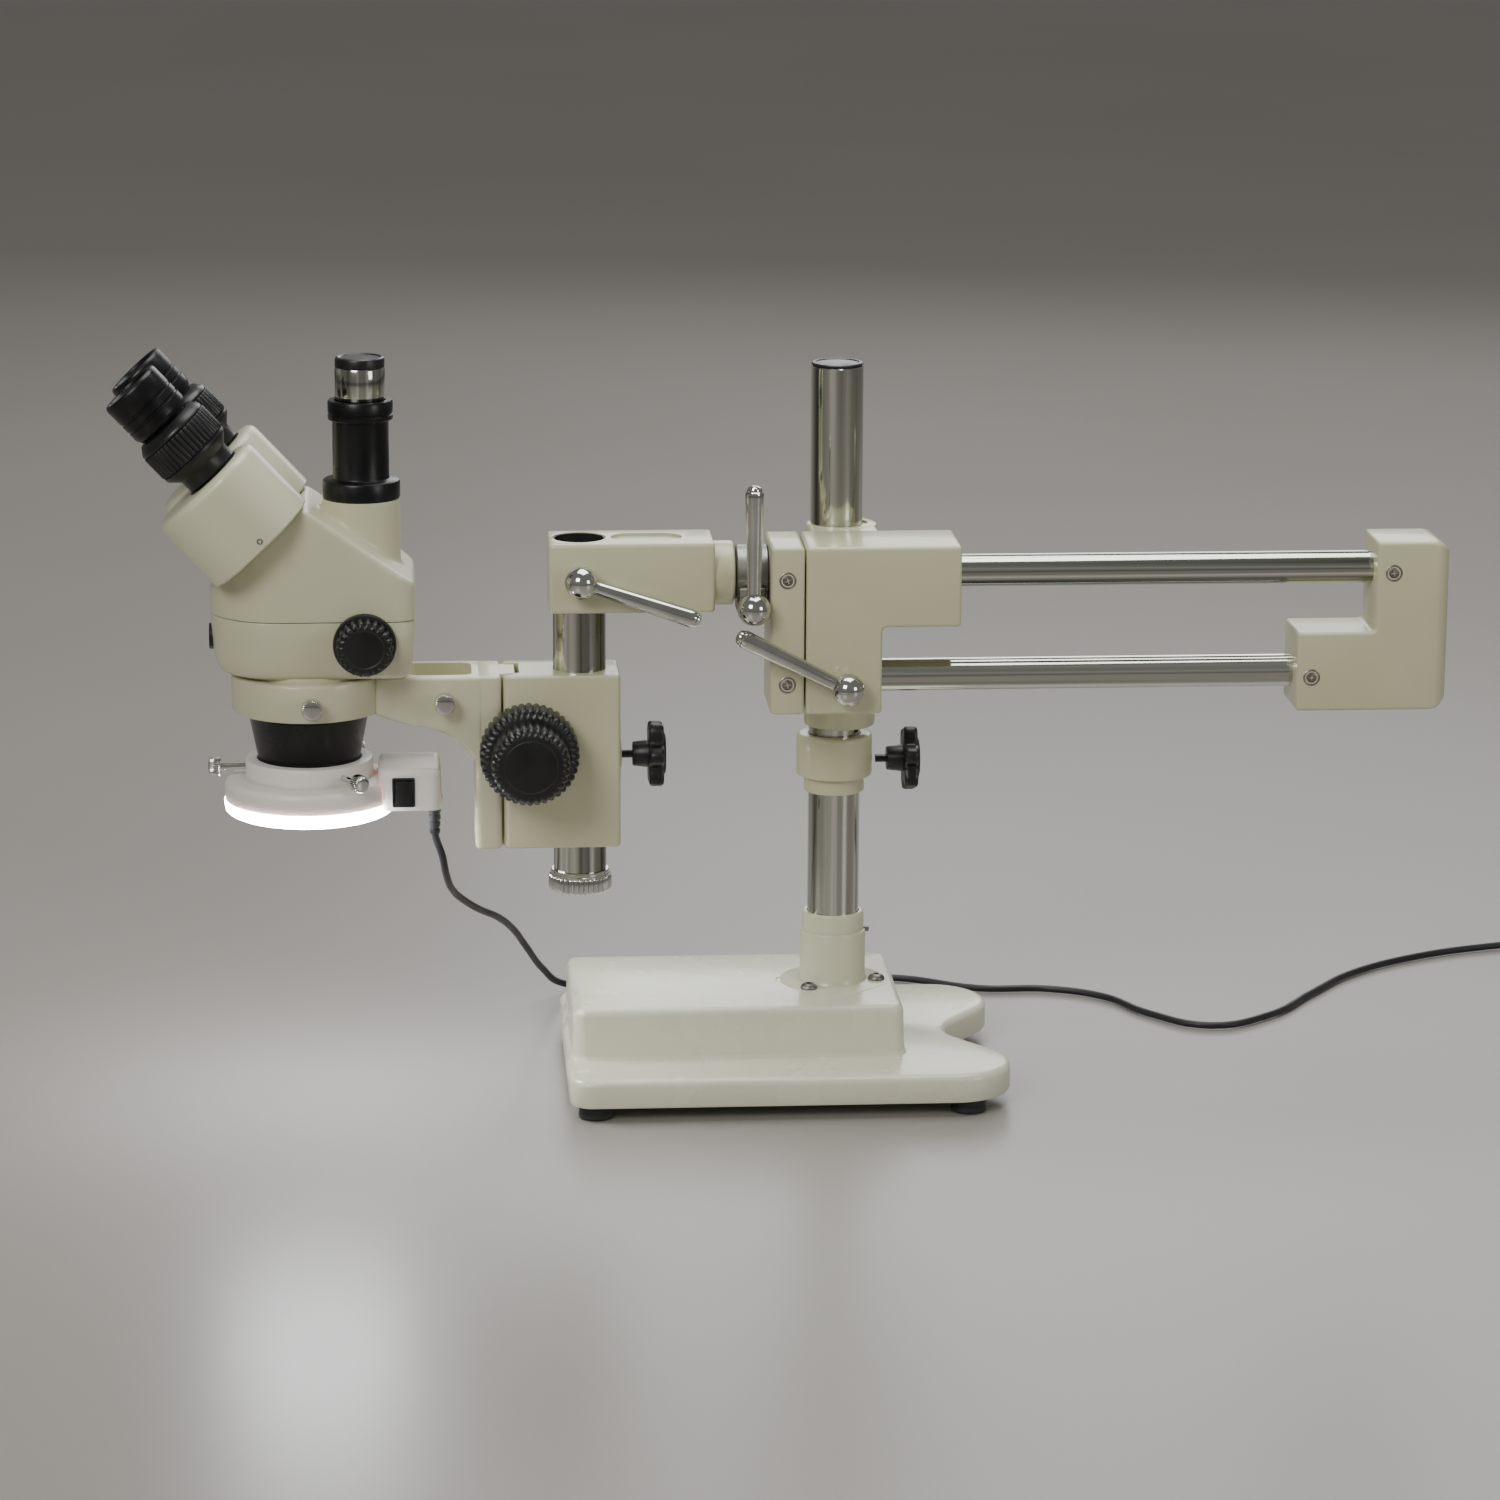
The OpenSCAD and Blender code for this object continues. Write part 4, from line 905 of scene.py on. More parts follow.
end_cast = raised(
    "end_cast",
    [(end_low.x, end_low.z), (end_high.x, end_low.z), (end_high.x, end_high.z), (end_upper_x, end_high.z),
     (end_upper_x, end_step + 3.4)]
    + bow(end_upper_x - 3.4, end_step + 3.4, 3.4, 0, -90, 5)[1:]
    + [(end_low.x, end_step)],
    -end_high.y, -end_low.y,
)
end_cast.rotation_euler.x = math.radians(90)
only(end_cast)
bpy.ops.object.transform_apply(location=True, rotation=True, scale=True)
points = end_cast.data.vertices
pick(end_cast, lambda v: abs(v.x - end_high.x) < 0.1)
bpy.ops.object.mode_set(mode="OBJECT")
for edge in end_cast.data.edges:
    a, b = (points[k].co for k in edge.vertices)
    edge.select = edge.select and abs(a.z - b.z) > 10
bpy.ops.object.mode_set(mode="EDIT")
bpy.ops.mesh.bevel(offset=11, segments=8, affect="EDGES")
bpy.ops.object.mode_set(mode="OBJECT")
bpy.ops.object.mode_set(mode="EDIT")
bpy.ops.mesh.select_mode(type="VERT")
bpy.ops.object.mode_set(mode="OBJECT")
rounded(end_cast, 2.2, 4, 40)
stands_for(settle(end_cast), "end_block")
print("end block", [round(v, 1) for v in end_low], [round(v, 1) for v in end_high])

# %% [markdown]
# ### Tubes and screws
# The tubes are hard chromed, with a small chamfer at each end. The screws that hold them are
# countersunk into the castings: a dark ring, a domed head and a cross-shaped recess.

# %% Boom tubes


def round_bar(name, radius, length, chamfer=0.6, steps=72):
    return turned(name, [(0, 0), (radius - chamfer, 0), (radius, chamfer), (radius, length - chamfer), (radius - chamfer, length), (0, length)], steps)


tubes = []
for z in (upper_z, lower_z):
    bar = round_bar("tube", tube_r, tube_high.x - tube_low.x)
    bar.rotation_euler.y = math.radians(90)
    bar.location = (tube_low.x, tube_y, z)
    tubes.append(bar)
tubes = joined("chrome_tubes", *tubes)
stands_for(settle(tubes), "boom_tubes")
print("tube length", round(tube_high.x - tube_low.x, 1))

# %% Countersunk screws
screw = turned(
    "screw",
    [(0, -4), (3, -4), (3.6, -1.4), (4.6, -1.2), (4.9, -0.2), (5.2, 0.12), (4.7, 0.42), (4.1, 0.25),
     (3.9, -0.3), (3.4, -0.3), (3.1, 0.2), (2.2, 0.55), (0, 0.7)],
    36,
)
for turn in (0, 90):
    slot_tool = raised("slot", [(-2.1, -0.42), (2.1, -0.42), (2.1, 0.42), (-2.1, 0.42)], -0.6, 2)
    slot_tool.rotation_euler.z = math.radians(turn + 20)
    screw = carved(screw, slot_tool)
screws = []
plate_x = (plate_low.x + plate_high.x) / 2
for x, y, z in [(plate_x, front_y, upper_z), (plate_x, front_y, lower_z),
                (end_upper_x + 10, end_low.y, upper_z), (end_low.x + 9, end_low.y, lower_z)]:
    copy = screw.copy()
    copy.data = screw.data.copy()
    bpy.context.scene.collection.objects.link(copy)
    copy.rotation_euler = (math.radians(90), math.radians(7 * len(screws)), 0)
    copy.location = (x, y, z)
    screws.append(copy)
bpy.data.objects.remove(screw)
screws = joined("countersunk_screws", *screws)
stands_for(settle(screws), "tube_set_screws")
print("screws:", 4)

# %% [markdown]
# ## Clamp levers
# Each lever is a polished ball on a short neck, with a handle that swells towards its end. Three
# of them lock the boom, the swivel and the arm. The ball and the neck are turned as one section,
# the handle as another, and the handle is laid over in the plane of the front.

# %% Levers


def lever(name, node, x, z, y, angle, length):
    ball = turned(name + "_ball", [(0, -10)] + [(10 * math.sin(math.radians(a)), -10 * math.cos(math.radians(a))) for a in range(10, 151, 10)]
                  + [(5.2, 8.9), (5.2, 11.4), (4.8, 11.9), (0, 11.9)], 48)
    ball.rotation_euler.x = math.radians(-90)
    handle = turned(name + "_handle", [(0, 4), (3.9, 4), (4.2, 9.2), (4.05, 10.0), (4.15, 11.0),
                    (5.55, length - 3.4), (5.6, length - 1.6), (5.2, length - 0.2),
                    (4.6, length + 0.3), (4.6, length + 1.2), (3.9, length + 2.6), (2.2, length + 3.5), (0, length + 3.8)], 40)
    handle.rotation_euler.y = math.radians(90 - angle)
    made = joined(name, ball, handle)
    made.location = (x, y, z)
    return stands_for(settle(made), node, smooth=30)


for name, node, angle in (("boom_clamp", "boom_lever", 153), ("swivel_clamp", "swivel_lever", 90), ("arm_clamp", "arm_lever", -18.7)):
    low, high = span(node)
    lean = math.radians(angle)
    x = high.x - 10 if math.cos(lean) < -0.1 else low.x + 10
    z = low.z + 10 if math.sin(lean) > 0 else high.z - 10
    lever(name, node, x, z, low.y + 10, angle, 71.6)
    print(name, "ball at", round(x, 1), round(low.y + 10, 1), round(z, 1))

# %% [markdown]
# ## Swivel arm and focus bar
# The arm turns on a steel shaft that leaves the front plate. It is a long casting with a round
# neck, a shallow oval pocket in its top, and a bored eye that is slit so that its lever can pinch
# the focus bar. The pocket, the bore and the slit are machined, so they are carved after the
# edges of the casting have been rounded.

# %% Pivot and arm
shaft_low, shaft_high = span("pivot_shaft")
arm_low, arm_high = span("swivel_arm")
arm_mid_y = (arm_low.y + arm_high.y) / 2
bar_mid = middle("focus_bar")
flange = turned("flange", [(0, -19.5), (16.2, -19.5), (17, -18.7), (17, -1), (16.4, -0.3), (0, -0.3)], 64)
flange.rotation_euler.y = math.radians(90)
flange.location = (plate_low.x, tube_y, upper_z)
nut = rounded(raised("nut", [(-18.4, -25), (-2.2, -25), (-2.2, -6), (-18.4, -6)], -19, 19), 1.2, 3)
nut.rotation_euler.x = math.radians(90)
nut.location = (plate_low.x, tube_y, upper_z)
pivot = joined("pivot_steel", flange, nut)
stands_for(settle(pivot), "pivot_shaft")
arm_end = -79


def arm_outline(e):
    return round_box(arm_low.x + e, arm_end - e, arm_low.y + e, arm_high.y - e, 3 - e, 5)


arm = stacked("arm", stack_of(arm_outline, [
    (2.4, arm_low.z), (0.9, arm_low.z + 0.4), (0.2, arm_low.z + 1.3), (0, arm_low.z + 2.4),
    (0, arm_high.z - 2.6), (0.25, arm_high.z - 1.4), (1.0, arm_high.z - 0.4), (2.5, arm_high.z),
]))
pocket = raised("pocket", round_box(bar_mid.x + 19, bar_mid.x + 62, arm_mid_y - 12, arm_mid_y + 12, 11.9, 12), arm_high.z - 1.6, arm_high.z + 3)
arm = carved(arm, pocket)
eye = turned("eye", [(0, 0), (post_r + 0.15, 0), (post_r + 0.15, 600), (0, 600)], 64)
eye.location = (bar_mid.x, arm_mid_y, 0)
arm = carved(arm, eye)
slit = raised("slit", [(arm_low.x - 2, arm_mid_y - 0.9), (bar_mid.x - 8, arm_mid_y - 0.9), (bar_mid.x - 8, arm_mid_y + 0.9), (arm_low.x - 2, arm_mid_y + 0.9)], 250, 400)
arm = carved(arm, slit)
neck = turned("neck", [(0, 0), (19.5, 0), (19.5, 15.2), (19.1, 16.4), (18.2, 17.2), (17.2, 17.5), (0, 17.5)], 64)
neck.rotation_euler.y = math.radians(90)
neck.location = (arm_end - 5, tube_y, upper_z)
arm = joined("arm_cast", arm, neck)
stands_for(settle(arm), "swivel_arm", smooth=28)
print("arm", [round(v, 1) for v in arm_low], [round(v, 1) for v in arm_high])

# %% [markdown]
# ### The bar and its foot ring
# The focus bar is the same ground chrome as the post. A steel ring with coarse grip flutes closes
# its lower end and stops the focus body from sliding off. Flutes are part of the ring's outline.

# %% Bar and ring
bar_low, bar_high = span("focus_bar")
bar = turned("bar", [(0, bar_low.z), (post_r - 0.4, bar_low.z), (post_r, bar_low.z + 0.4), (post_r, bar_high.z - 0.8), (post_r - 0.8, bar_high.z), (post_r - 3.4, bar_high.z), (post_r - 3.5, bar_high.z - 12), (0, bar_high.z - 12)], 96)
stands_for(settle(bar, (bar_mid.x, bar_mid.y, 0)), "focus_bar")
# A black ring inside the arm's bore above the bar: a painted shadow for the dark hollow.
bore_shade_ring = turned("black_bore_shade", [(14.9, bar_high.z + 0.5), (15.9, bar_high.z + 0.5), (15.9, arm_high.z - 0.4), (14.9, arm_high.z - 0.4)], 80)
rides_with(settle(bore_shade_ring, (bar_mid.x, bar_mid.y, 0)), "swivel_arm", "black_knob")
foot_low, foot_high = span("bar_collar")


def fluted(radius, depth, count, per=6):
    """A ring outline with rounded flutes, as a function of how far it is drawn in."""
    turns = [math.tau * k / (count * per) for k in range(count * per)]

    def ring(e):
        return [((radius - e - depth * (0.5 - 0.5 * math.cos(count * a)) ** 2) * math.cos(a),
                 (radius - e - depth * (0.5 - 0.5 * math.cos(count * a)) ** 2) * math.sin(a)) for a in turns]

    return ring


foot_ring = stacked("foot_ring", stack_of(fluted(19.2, 0.9, 36), [
    (2.4, foot_low.z), (1.0, foot_low.z + 0.3), (0.2, foot_low.z + 1.1), (0, foot_low.z + 2),
    (0, foot_high.z - 4.2), (0.3, foot_high.z - 3.6), (0.9, foot_high.z - 3.2)]))
foot_rim = turned("foot_rim", [(post_r + 0.1, foot_high.z - 4), (18.2, foot_high.z - 4), (18.2, foot_high.z - 2.6), (17.8, foot_high.z - 2.2), (17.8, foot_high.z - 0.6), (17.2, foot_high.z), (post_r + 0.1, foot_high.z)], 72)
foot_ring = joined("bar_foot_ring", foot_ring, foot_rim)
stands_for(settle(foot_ring, (bar_mid.x, bar_mid.y, 0)), "bar_collar", smooth=35)
print("bar", round(bar_low.z, 1), "to", round(bar_high.z, 1))

# %% [markdown]
# ## Focus body and slide
# The focus body is a bored block on the bar. The slide in front of it runs up and down on a rack,
# and ends in the ring that holds the head. The slide is three shapes: an upright plate, a long
# wedge whose underside sweeps up to the ring, and the ring itself. A deep pocket lightens the
# wedge.

# %% Focus body
body_low, body_high = span("focus_body")


def upright(e):
    return round_box(body_low.x + e, body_high.x - e, body_low.y + e, body_high.y - e, 4 - e, 6)


focus_block = stacked("focus_block", stack_of(upright, [
    (2.6, body_low.z), (1.1, body_low.z + 0.4), (0.3, body_low.z + 1.2), (0, body_low.z + 2.6),
    (0, body_high.z - 2.6), (0.3, body_high.z - 1.2), (1.1, body_high.z - 0.4), (2.6, body_high.z)]))
eye = turned("eye", [(0, 0), (post_r + 0.12, 0), (post_r + 0.12, 600), (0, 600)], 72)
eye.location = (bar_mid.x, bar_mid.y, 0)
focus_block = carved(focus_block, eye)
channel = raised("channel", [(body_low.x - 4, -13.5), (body_low.x + 9.8, -13.5), (body_low.x + 9.8, 13.5), (body_low.x - 4, 13.5)], 0, 600)
channel.location.y = bar_mid.y
focus_block = carved(focus_block, channel)
boss = turned("boss", [(3, 0), (9, 0), (9, 1.6), (8.4, 2.2), (3, 2.2)], 48)
boss.rotation_euler.y = math.radians(90)
boss.location = (body_high.x - 1, bar_mid.y, clamp_middle.z)
focus_block = joined("focus_body_cast", focus_block, boss)
stands_for(settle(focus_block), "focus_body", smooth=28)
print("focus body", round(body_high.x - body_low.x, 1), "wide")

# %% Slide
slide_low, slide_high = span("focus_slide")
axis_x = span("nose_cone")[0].x + 36.5
plate_right, plate_left = body_low.x - 1.3, body_low.x - 17.3
ring_top, ring_bottom = slide_high.z, slide_high.z - 23
mid_y = bar_mid.y


def slide_plate(e):
    return round_box(plate_left + e, plate_right - e, body_low.y + e, body_high.y - e, 4 - e, 6)


upright_plate = stacked("upright_plate", stack_of(slide_plate, [
    (2.6, body_low.z), (1.1, body_low.z + 0.4), (0.3, body_low.z + 1.2), (0, body_low.z + 2.6),
    (0, ring_top - 2.6), (0.3, ring_top - 1.2), (1.1, ring_top - 0.4), (2.6, ring_top)]))
tongue = raised("tongue", [(plate_right - 5, -13.4), (body_low.x + 7, -13.4), (body_low.x + 7, 13.4), (plate_right - 5, 13.4)], body_low.z + 0.5, ring_top - 0.5)
tongue.location.y = mid_y
sweep = [(plate_left - 38, ring_bottom - 7)]
for t in range(1, 10):
    t = t / 10
    sweep.append((plate_left - 38 + 37 * t + 6 * t * t, ring_bottom - 7 - 4 * t - 26 * t ** 3.2))
wedge = cast_block(
    "wedge",
    [(plate_left + 5, ring_top), (axis_x + 40, ring_top), (axis_x + 40, ring_bottom)] + sweep
    + [(plate_left + 5, ring_bottom - 40)],
    mid_y - 24, mid_y + 24, 2.6,
)
pocket = raised("pocket", round_box(plate_left - 40, plate_left - 1.5, mid_y - 17, mid_y + 17, 6, 6), ring_top - 17, ring_top + 20)
rounded(pocket, 1.5, 3)
wedge = carved(wedge, pocket)
holder = turned("holder", [
    (38.15, ring_bottom + 0.6), (38.8, ring_bottom), (44, ring_bottom), (45.4, ring_bottom + 0.6),
    (46, ring_bottom + 2), (46, ring_top - 1.8), (45.5, ring_top - 0.6), (44.4, ring_top),
    (38.8, ring_top), (38.15, ring_top - 0.6)], 112)
holder.location = (axis_x, mid_y, 0)
slide = joined("slide_cast", upright_plate, tongue, wedge, holder)
stands_for(settle(slide), "focus_slide", smooth=30)
print("slide ring at", round(axis_x, 1), "top", round(ring_top, 1))

# %% [markdown]
# ### Focus knobs
# Each side has a large knob with a coarse fluted rim, and a smaller fluted cap that sets the
# tension. The flutes are deep enough to grip with a gloved hand. The knob is modelled once along
# its axis, then copied to the other side.

# %% Focus knobs
knobs_low, knobs_high = span("focus_knobs")
knob_mid = middle("focus_knobs")
rim = stacked("rim", stack_of(fluted(29.9, 1.5, 40, 4), [
    (5.5, 29.4), (2.5, 29.6), (0.9, 30.6), (0, 32.4), (0, 48.2), (0.8, 50), (2.4, 51.2), (5.0, 52.2)]))
cap = stacked("cap", stack_of(fluted(23.6, 1.3, 32, 4), [
    (3, 51.5), (0.6, 52.4), (0, 53.6), (0, 70.6), (0.7, 72.6), (2.2, 74.2), (4.2, 75)]))
hub = turned("hub", [(4.6, 24), (14.6, 24), (15, 24.6), (15, 31), (4.6, 31)], 56)
face = turned("face", [(0, 74.0), (16.4, 74.0), (16.4, 75.0), (15.6, 75.25), (14.6, 74.4), (6, 74.3), (0, 74.5)], 56)
knob = joined("focus_knob", rim, cap, hub, face)
other = knob.copy()
other.data = knob.data.copy()
bpy.context.scene.collection.objects.link(other)
knob.rotation_euler.x = math.radians(90)
other.rotation_euler = (math.radians(-90), 0, 0)
for half in (knob, other):
    half.location = knob_mid
focus_knobs = joined("focus_knob_pair", knob, other)
stands_for(settle(focus_knobs), "focus_knobs", smooth=38)
print("focus knobs", round(knobs_high.y - knobs_low.y, 1), "across")

# %% [markdown]
# ### Thumbscrews
# Small knurled steel screws hold the head ring, the slide and the ring light. A straight knurl is
# a ring of fine teeth, with a plain chamfered face in front.

# %% Thumbscrews


def thumb_screw(name, radius, length, neck_r, stud):
    """Its head runs from 0 up to length; the neck and the stud go down from there."""
    grip = stacked(name + "_grip", stack_of(fluted(radius, 0.5, 26, 4), [
        (1.3, 0), (0.35, 0.35), (0, 1.0), (0, length - 1.0), (0.35, length - 0.35), (1.3, length)]))
    core = turned(name + "_core", [
        (0, -stud), (1.9, -stud), (1.9, -3.6), (neck_r, -3.6), (neck_r, 0.5), (radius - 2, 0.5),
        (radius - 2, length - 0.4), (radius - 1.4, length + 0.1), (radius - 2.2, length + 0.35),
        (0, length + 0.2)], 32)
    return joined(name, grip, core)


for name, node in (("slide_screw", "head_screw_rear"), ("ring_screw", "head_screw_front")):
    low, high = span(node)
    made = thumb_screw(name, 6.4, 8.5, 4.5, 9)
    place = ((low.x + high.x) / 2, low.y + 8.5, (low.z + high.z) / 2)
    stands_for(settle(made, place, (0, -1, 0)), node, smooth=35)
    print(name, [round(v, 1) for v in place])

# %% [markdown]
# ## The head
# The head is two die-cast shells. The lower one has a D-shaped plan and tapers in at its bottom
# edge. The upper one is a wedge with a round tower for the camera port. Die castings have large
# soft rounds that run into each other, so the upper shell is first roughed out with booleans,
# then remeshed into small even faces and smoothed, which melts its edges as a mould would.

# %% Lower shell
lower_low, lower_high = span("head_lower")
upper_low, upper_high = span("head_upper")
half_w = (upper_high.y - upper_low.y) / 2
head_left, head_right = axis_x - 58, axis_x - 58 + 123
head_bottom = ring_top + 2
seam_z = upper_low.z


def head_plan(e):
    r = half_w - e
    return (
        bow(head_left + half_w, mid_y, r, 90, 270, 40)
        + bow(head_right - 12, mid_y - half_w + 12, 12 - e, 270, 360, 8)
        + bow(head_right - 12, mid_y + half_w - 12, 12 - e, 0, 90, 8)
    )


lower = stacked("lower", stack_of(head_plan, [
    (9.5, head_bottom), (7.2, head_bottom + 0.4), (5.4, head_bottom + 1.6), (4.2, head_bottom + 3.6),
    (3.0, head_bottom + 7.5), (1.9, head_bottom + 12), (1.1, head_bottom + 18), (0.7, head_bottom + 26),
    (0.6, seam_z - 1.4), (0.9, seam_z - 0.7), (1.7, seam_z - 0.3)]))
badge_low, badge_high = span("blank_badge")
badge_mid = (badge_low + badge_high) / 2
seat = turned("seat", [(0, -1.3), (8.3, -1.3), (8.3, 6), (0, 6)], 40)
seat.rotation_euler.y = math.radians(-90)
seat.location = (badge_low.x + 1.7, badge_mid.y, badge_mid.z)
lower = carved(lower, seat)
spigot = turned("spigot", [(31, lower_low.z + 0.3), (37.6, lower_low.z + 0.3), (37.9, lower_low.z + 0.8), (37.9, head_bottom + 1), (31, head_bottom + 1)], 96)
spigot.location = (axis_x, mid_y, 0)
lower = joined("head_lower_shell", lower, spigot)
stands_for(settle(lower), "head_lower", smooth=30)
print("lower shell", round(head_left, 1), "to", round(head_right, 1))

# %% Upper shell
pod_tilt = math.radians(43)
pod_x, pod_z = axis_x - 25.5, seam_z - 0.3 + 46
slope = math.tan(math.radians(47))
apex = (pod_x + 23.5, pod_z + 23.5 / slope)
brow_z = seam_z + 11.7
brow = (pod_x - (pod_z - brow_z) * slope, brow_z)
side = raised("upper", [
    (head_left - 2, seam_z - 6), (head_right, seam_z - 6), (head_right, seam_z + 21.7),
    (apex[0] + 4, apex[1] - 1), (apex[0], apex[1]), brow, (head_left - 2, brow_z - 2)],
    -(mid_y + 60), -(mid_y - 60))
side.rotation_euler.x = math.radians(90)
plan = raised("plan", head_plan(0), seam_z - 5, seam_z + 120)
upper = carved(side, plan, "INTERSECT")
camera_x = middle("camera_port").x
port_low, port_high = span("camera_port")
tower_top = span("head_upper")[1].z
tower = turned("tower", [(0, seam_z), (23.2, seam_z), (23.2, tower_top + 2), (0, tower_top + 2)], 96)
tower.location = (camera_x, mid_y, 0)
upper = carved(upper, tower, "UNION")
only(upper)
bpy.ops.object.transform_apply(location=True, rotation=True, scale=True)
modified(upper, "REMESH", mode="VOXEL", voxel_size=1.5, adaptivity=0)
modified(upper, "SMOOTH", factor=0.5, iterations=9)
for level, keep_below in ((seam_z + 0.15, False), (tower_top - 0.2, True)):
    only(upper)
    bpy.ops.object.mode_set(mode="EDIT")
    bpy.ops.mesh.select_all(action="SELECT")
    bpy.ops.mesh.bisect(plane_co=(0, 0, level), plane_no=(0, 0, 1), use_fill=True, clear_inner=not keep_below, clear_outer=keep_below)
    bpy.ops.object.mode_set(mode="OBJECT")
upper.name = upper.data.name = "head_upper_shell"
stands_for(settle(upper), "head_upper", smooth=40)
print("upper shell faces:", len(upper.data.polygons))

# %% [markdown]
# ### Badge, cone and objective
# A round blank badge sits in the front of the head. Below the ring hangs the black cone that
# carries the objective, with a grooved adapter that the ring light clamps on. The front lens is
# a shallow dome of coated glass.

# %% Badge, cone, lens
badge = turned("badge_plate", [(0, -2), (7.9, -2), (7.9, 0.2), (7.5, 0.75), (6.8, 0.75), (6.4, 0.3), (0, 0.5)], 48)
stands_for(settle(badge, (badge_low.x + 0.75, badge_mid.y, badge_mid.z), (-1, 0, 0)), "blank_badge")
cone_low, cone_high = span("nose_cone")
nose_z = lower_low.z
cone = turned("cone_body", [
    (24.1, cone_low.z + 0.4), (24.6, cone_low.z), (29.6, cone_low.z), (30.4, cone_low.z + 0.6),
    (30.4, cone_low.z + 8.5), (29.7, cone_low.z + 9), (29.7, cone_low.z + 10.2), (30.6, cone_low.z + 10.8),
    (30.6, cone_low.z + 13.5), (31.2, cone_low.z + 14.2), (35.9, nose_z - 5.2), (36.4, nose_z - 4.6),
    (36.4, nose_z - 1.0), (35.8, nose_z - 0.4), (30.8, nose_z - 0.4), (30.8, cone_high.z), (24.1, cone_high.z)], 96)
stands_for(settle(cone, (axis_x, mid_y, 0)), "nose_cone")
lens_low, lens_high = span("objective_lens")
lens = turned("front_lens", [(0, lens_low.z - 1.4), (8, lens_low.z - 1.1), (16, lens_low.z - 0.2), (22, lens_low.z + 1.3), (23.9, lens_low.z + 2), (23.9, lens_high.z), (0, lens_high.z)], 72)
stands_for(settle(lens, (axis_x, mid_y, 0)), "objective_lens")
print("cone from", round(cone_low.z, 1), "to", round(nose_z, 1))

# %% [markdown]
# ### Zoom knobs
# The zoom knobs on both sides of the head have a plain flange and a deeply fluted grip.

# %% Zoom knobs
zoom_mid = middle("zoom_knobs")
grip = stacked("grip", stack_of(fluted(17, 1.9, 22, 6), [
    (2.5, half_w + 4), (0.3, half_w + 4.6), (0, half_w + 5.6), (0, half_w + 13.8), (0.7, half_w + 15.2),
    (1.9, half_w + 16.1), (3.6, half_w + 16.5)]))
collar_part = turned("flange", [(4.2, half_w + 0.3), (18.1, half_w + 0.3), (18.8, half_w + 0.9), (18.8, half_w + 3.6), (18.2, half_w + 4.6), (15, half_w + 5.2), (4.2, half_w + 5.2)], 64)
front = turned("front", [(0, half_w + 15.9), (12.4, half_w + 15.9), (12.2, half_w + 16.7), (11, half_w + 16.6), (10.4, half_w + 16.1), (0, half_w + 16.3)], 48)
zoom_knob = joined("zoom_knob", grip, collar_part, front)
other = zoom_knob.copy()
other.data = zoom_knob.data.copy()
bpy.context.scene.collection.objects.link(other)
zoom_knob.rotation_euler.x = math.radians(90)
other.rotation_euler.x = math.radians(-90)
for half in (zoom_knob, other):
    half.location = zoom_mid
zoom_pair = joined("zoom_knob_pair", zoom_knob, other)
stands_for(settle(zoom_pair), "zoom_knobs", smooth=38)
print("zoom knobs at", [round(v, 1) for v in zoom_mid])

# %% [markdown]
# ### Camera port
# The third tube stands on the tower: a black flange, a black tube with a thicker ring at its top,
# a bright sleeve for the camera adapter, and a black dust cap.

# %% Camera port
port_top = port_high.z - 12
port = turned("port_tube", [
    (10.2, port_low.z + 8.4), (22.6, tower_top + 0.1), (23.2, tower_top + 0.7), (23.2, tower_top + 9.4),
    (22.7, tower_top + 10.6), (21.6, tower_top + 11.3), (18.2, tower_top + 11.4), (17.2, tower_top + 12),
    (16.8, tower_top + 13.2), (16.8, port_top + 0.1), (18.8, port_top + 0.1), (19.4, port_top + 0.8),
    (19.4, port_top + 3.2), (18.9, port_top + 3.6), (18.9, port_top + 4.4), (19.4, port_top + 4.8),
    (19.4, port_top + 10.8), (18.8, port_top + 11.8), (15.5, port_high.z), (15.2, port_high.z - 1),
    (15.2, tower_top + 14), (10.2, tower_top + 14)], 80)
stands_for(settle(port, (camera_x, mid_y, 0)), "camera_port")
tube_end = span("camera_sleeve")[1].z
sleeve_base = span("camera_sleeve")[0].z
camera_tube = turned("camera_tube", [
    (12.1, sleeve_base), (14, sleeve_base), (14, port_high.z - 2), (14.8, port_high.z - 1.4), (14.8, port_high.z + 0.6),
    (14.95, port_high.z + 0.9), (14.95, tube_end - 0.8), (14.5, tube_end), (12.6, tube_end), (12.1, tube_end - 0.5)], 80)
stands_for(settle(camera_tube, (camera_x, mid_y, 0)), "camera_sleeve")
lid_low, lid_high = span("camera_cap")
lid = turned("dust_cap", [
    (0, lid_low.z), (11.8, lid_low.z), (11.8, tube_end + 0.1), (14.4, tube_end + 0.1), (14.8, tube_end + 0.5),
    (14.8, lid_high.z - 1.6), (14.4, lid_high.z - 0.6), (13.2, lid_high.z), (12.4, lid_high.z - 0.1),
    (11.6, lid_high.z - 0.7), (0, lid_high.z - 0.7)], 72)
stands_for(settle(lid, (camera_x, mid_y, 0)), "camera_cap")
print("camera port", round(tower_top, 1), "to", round(lid_high.z, 1))

# %% [markdown]
# ## Pods and eyepieces
# Two oval pods close the sloping front of the head and carry the prisms. They swing a little, to
# fit the distance between two eyes. Each holds an eyepiece: a black tube, a ribbed dioptre ring
# and a soft eyecup. They are worked upright, then leaned back by 43 degrees.

# %% Pods and eyepieces
pod_length, pod_half, pod_shift = 50, 29.5, 7.5
near_side, far_side = -32.5, 32.5
lean = (-math.sin(pod_tilt), 0, math.cos(pod_tilt))


def pod_plan(e):
    r = pod_half - e
    return bow(pod_shift, 0, r, -90, 90, 28) + bow(-pod_shift, 0, r, 90, 270, 28)


def pod(name):
    return stacked(name, stack_of(pod_plan, [
        (1.2, 0.5), (0.5, 0.8), (0, 1.6), (0, pod_length - 5.4), (0.4, pod_length - 3.4),
        (1.4, pod_length - 1.6), (3.0, pod_length - 0.5), (5.2, pod_length)]))


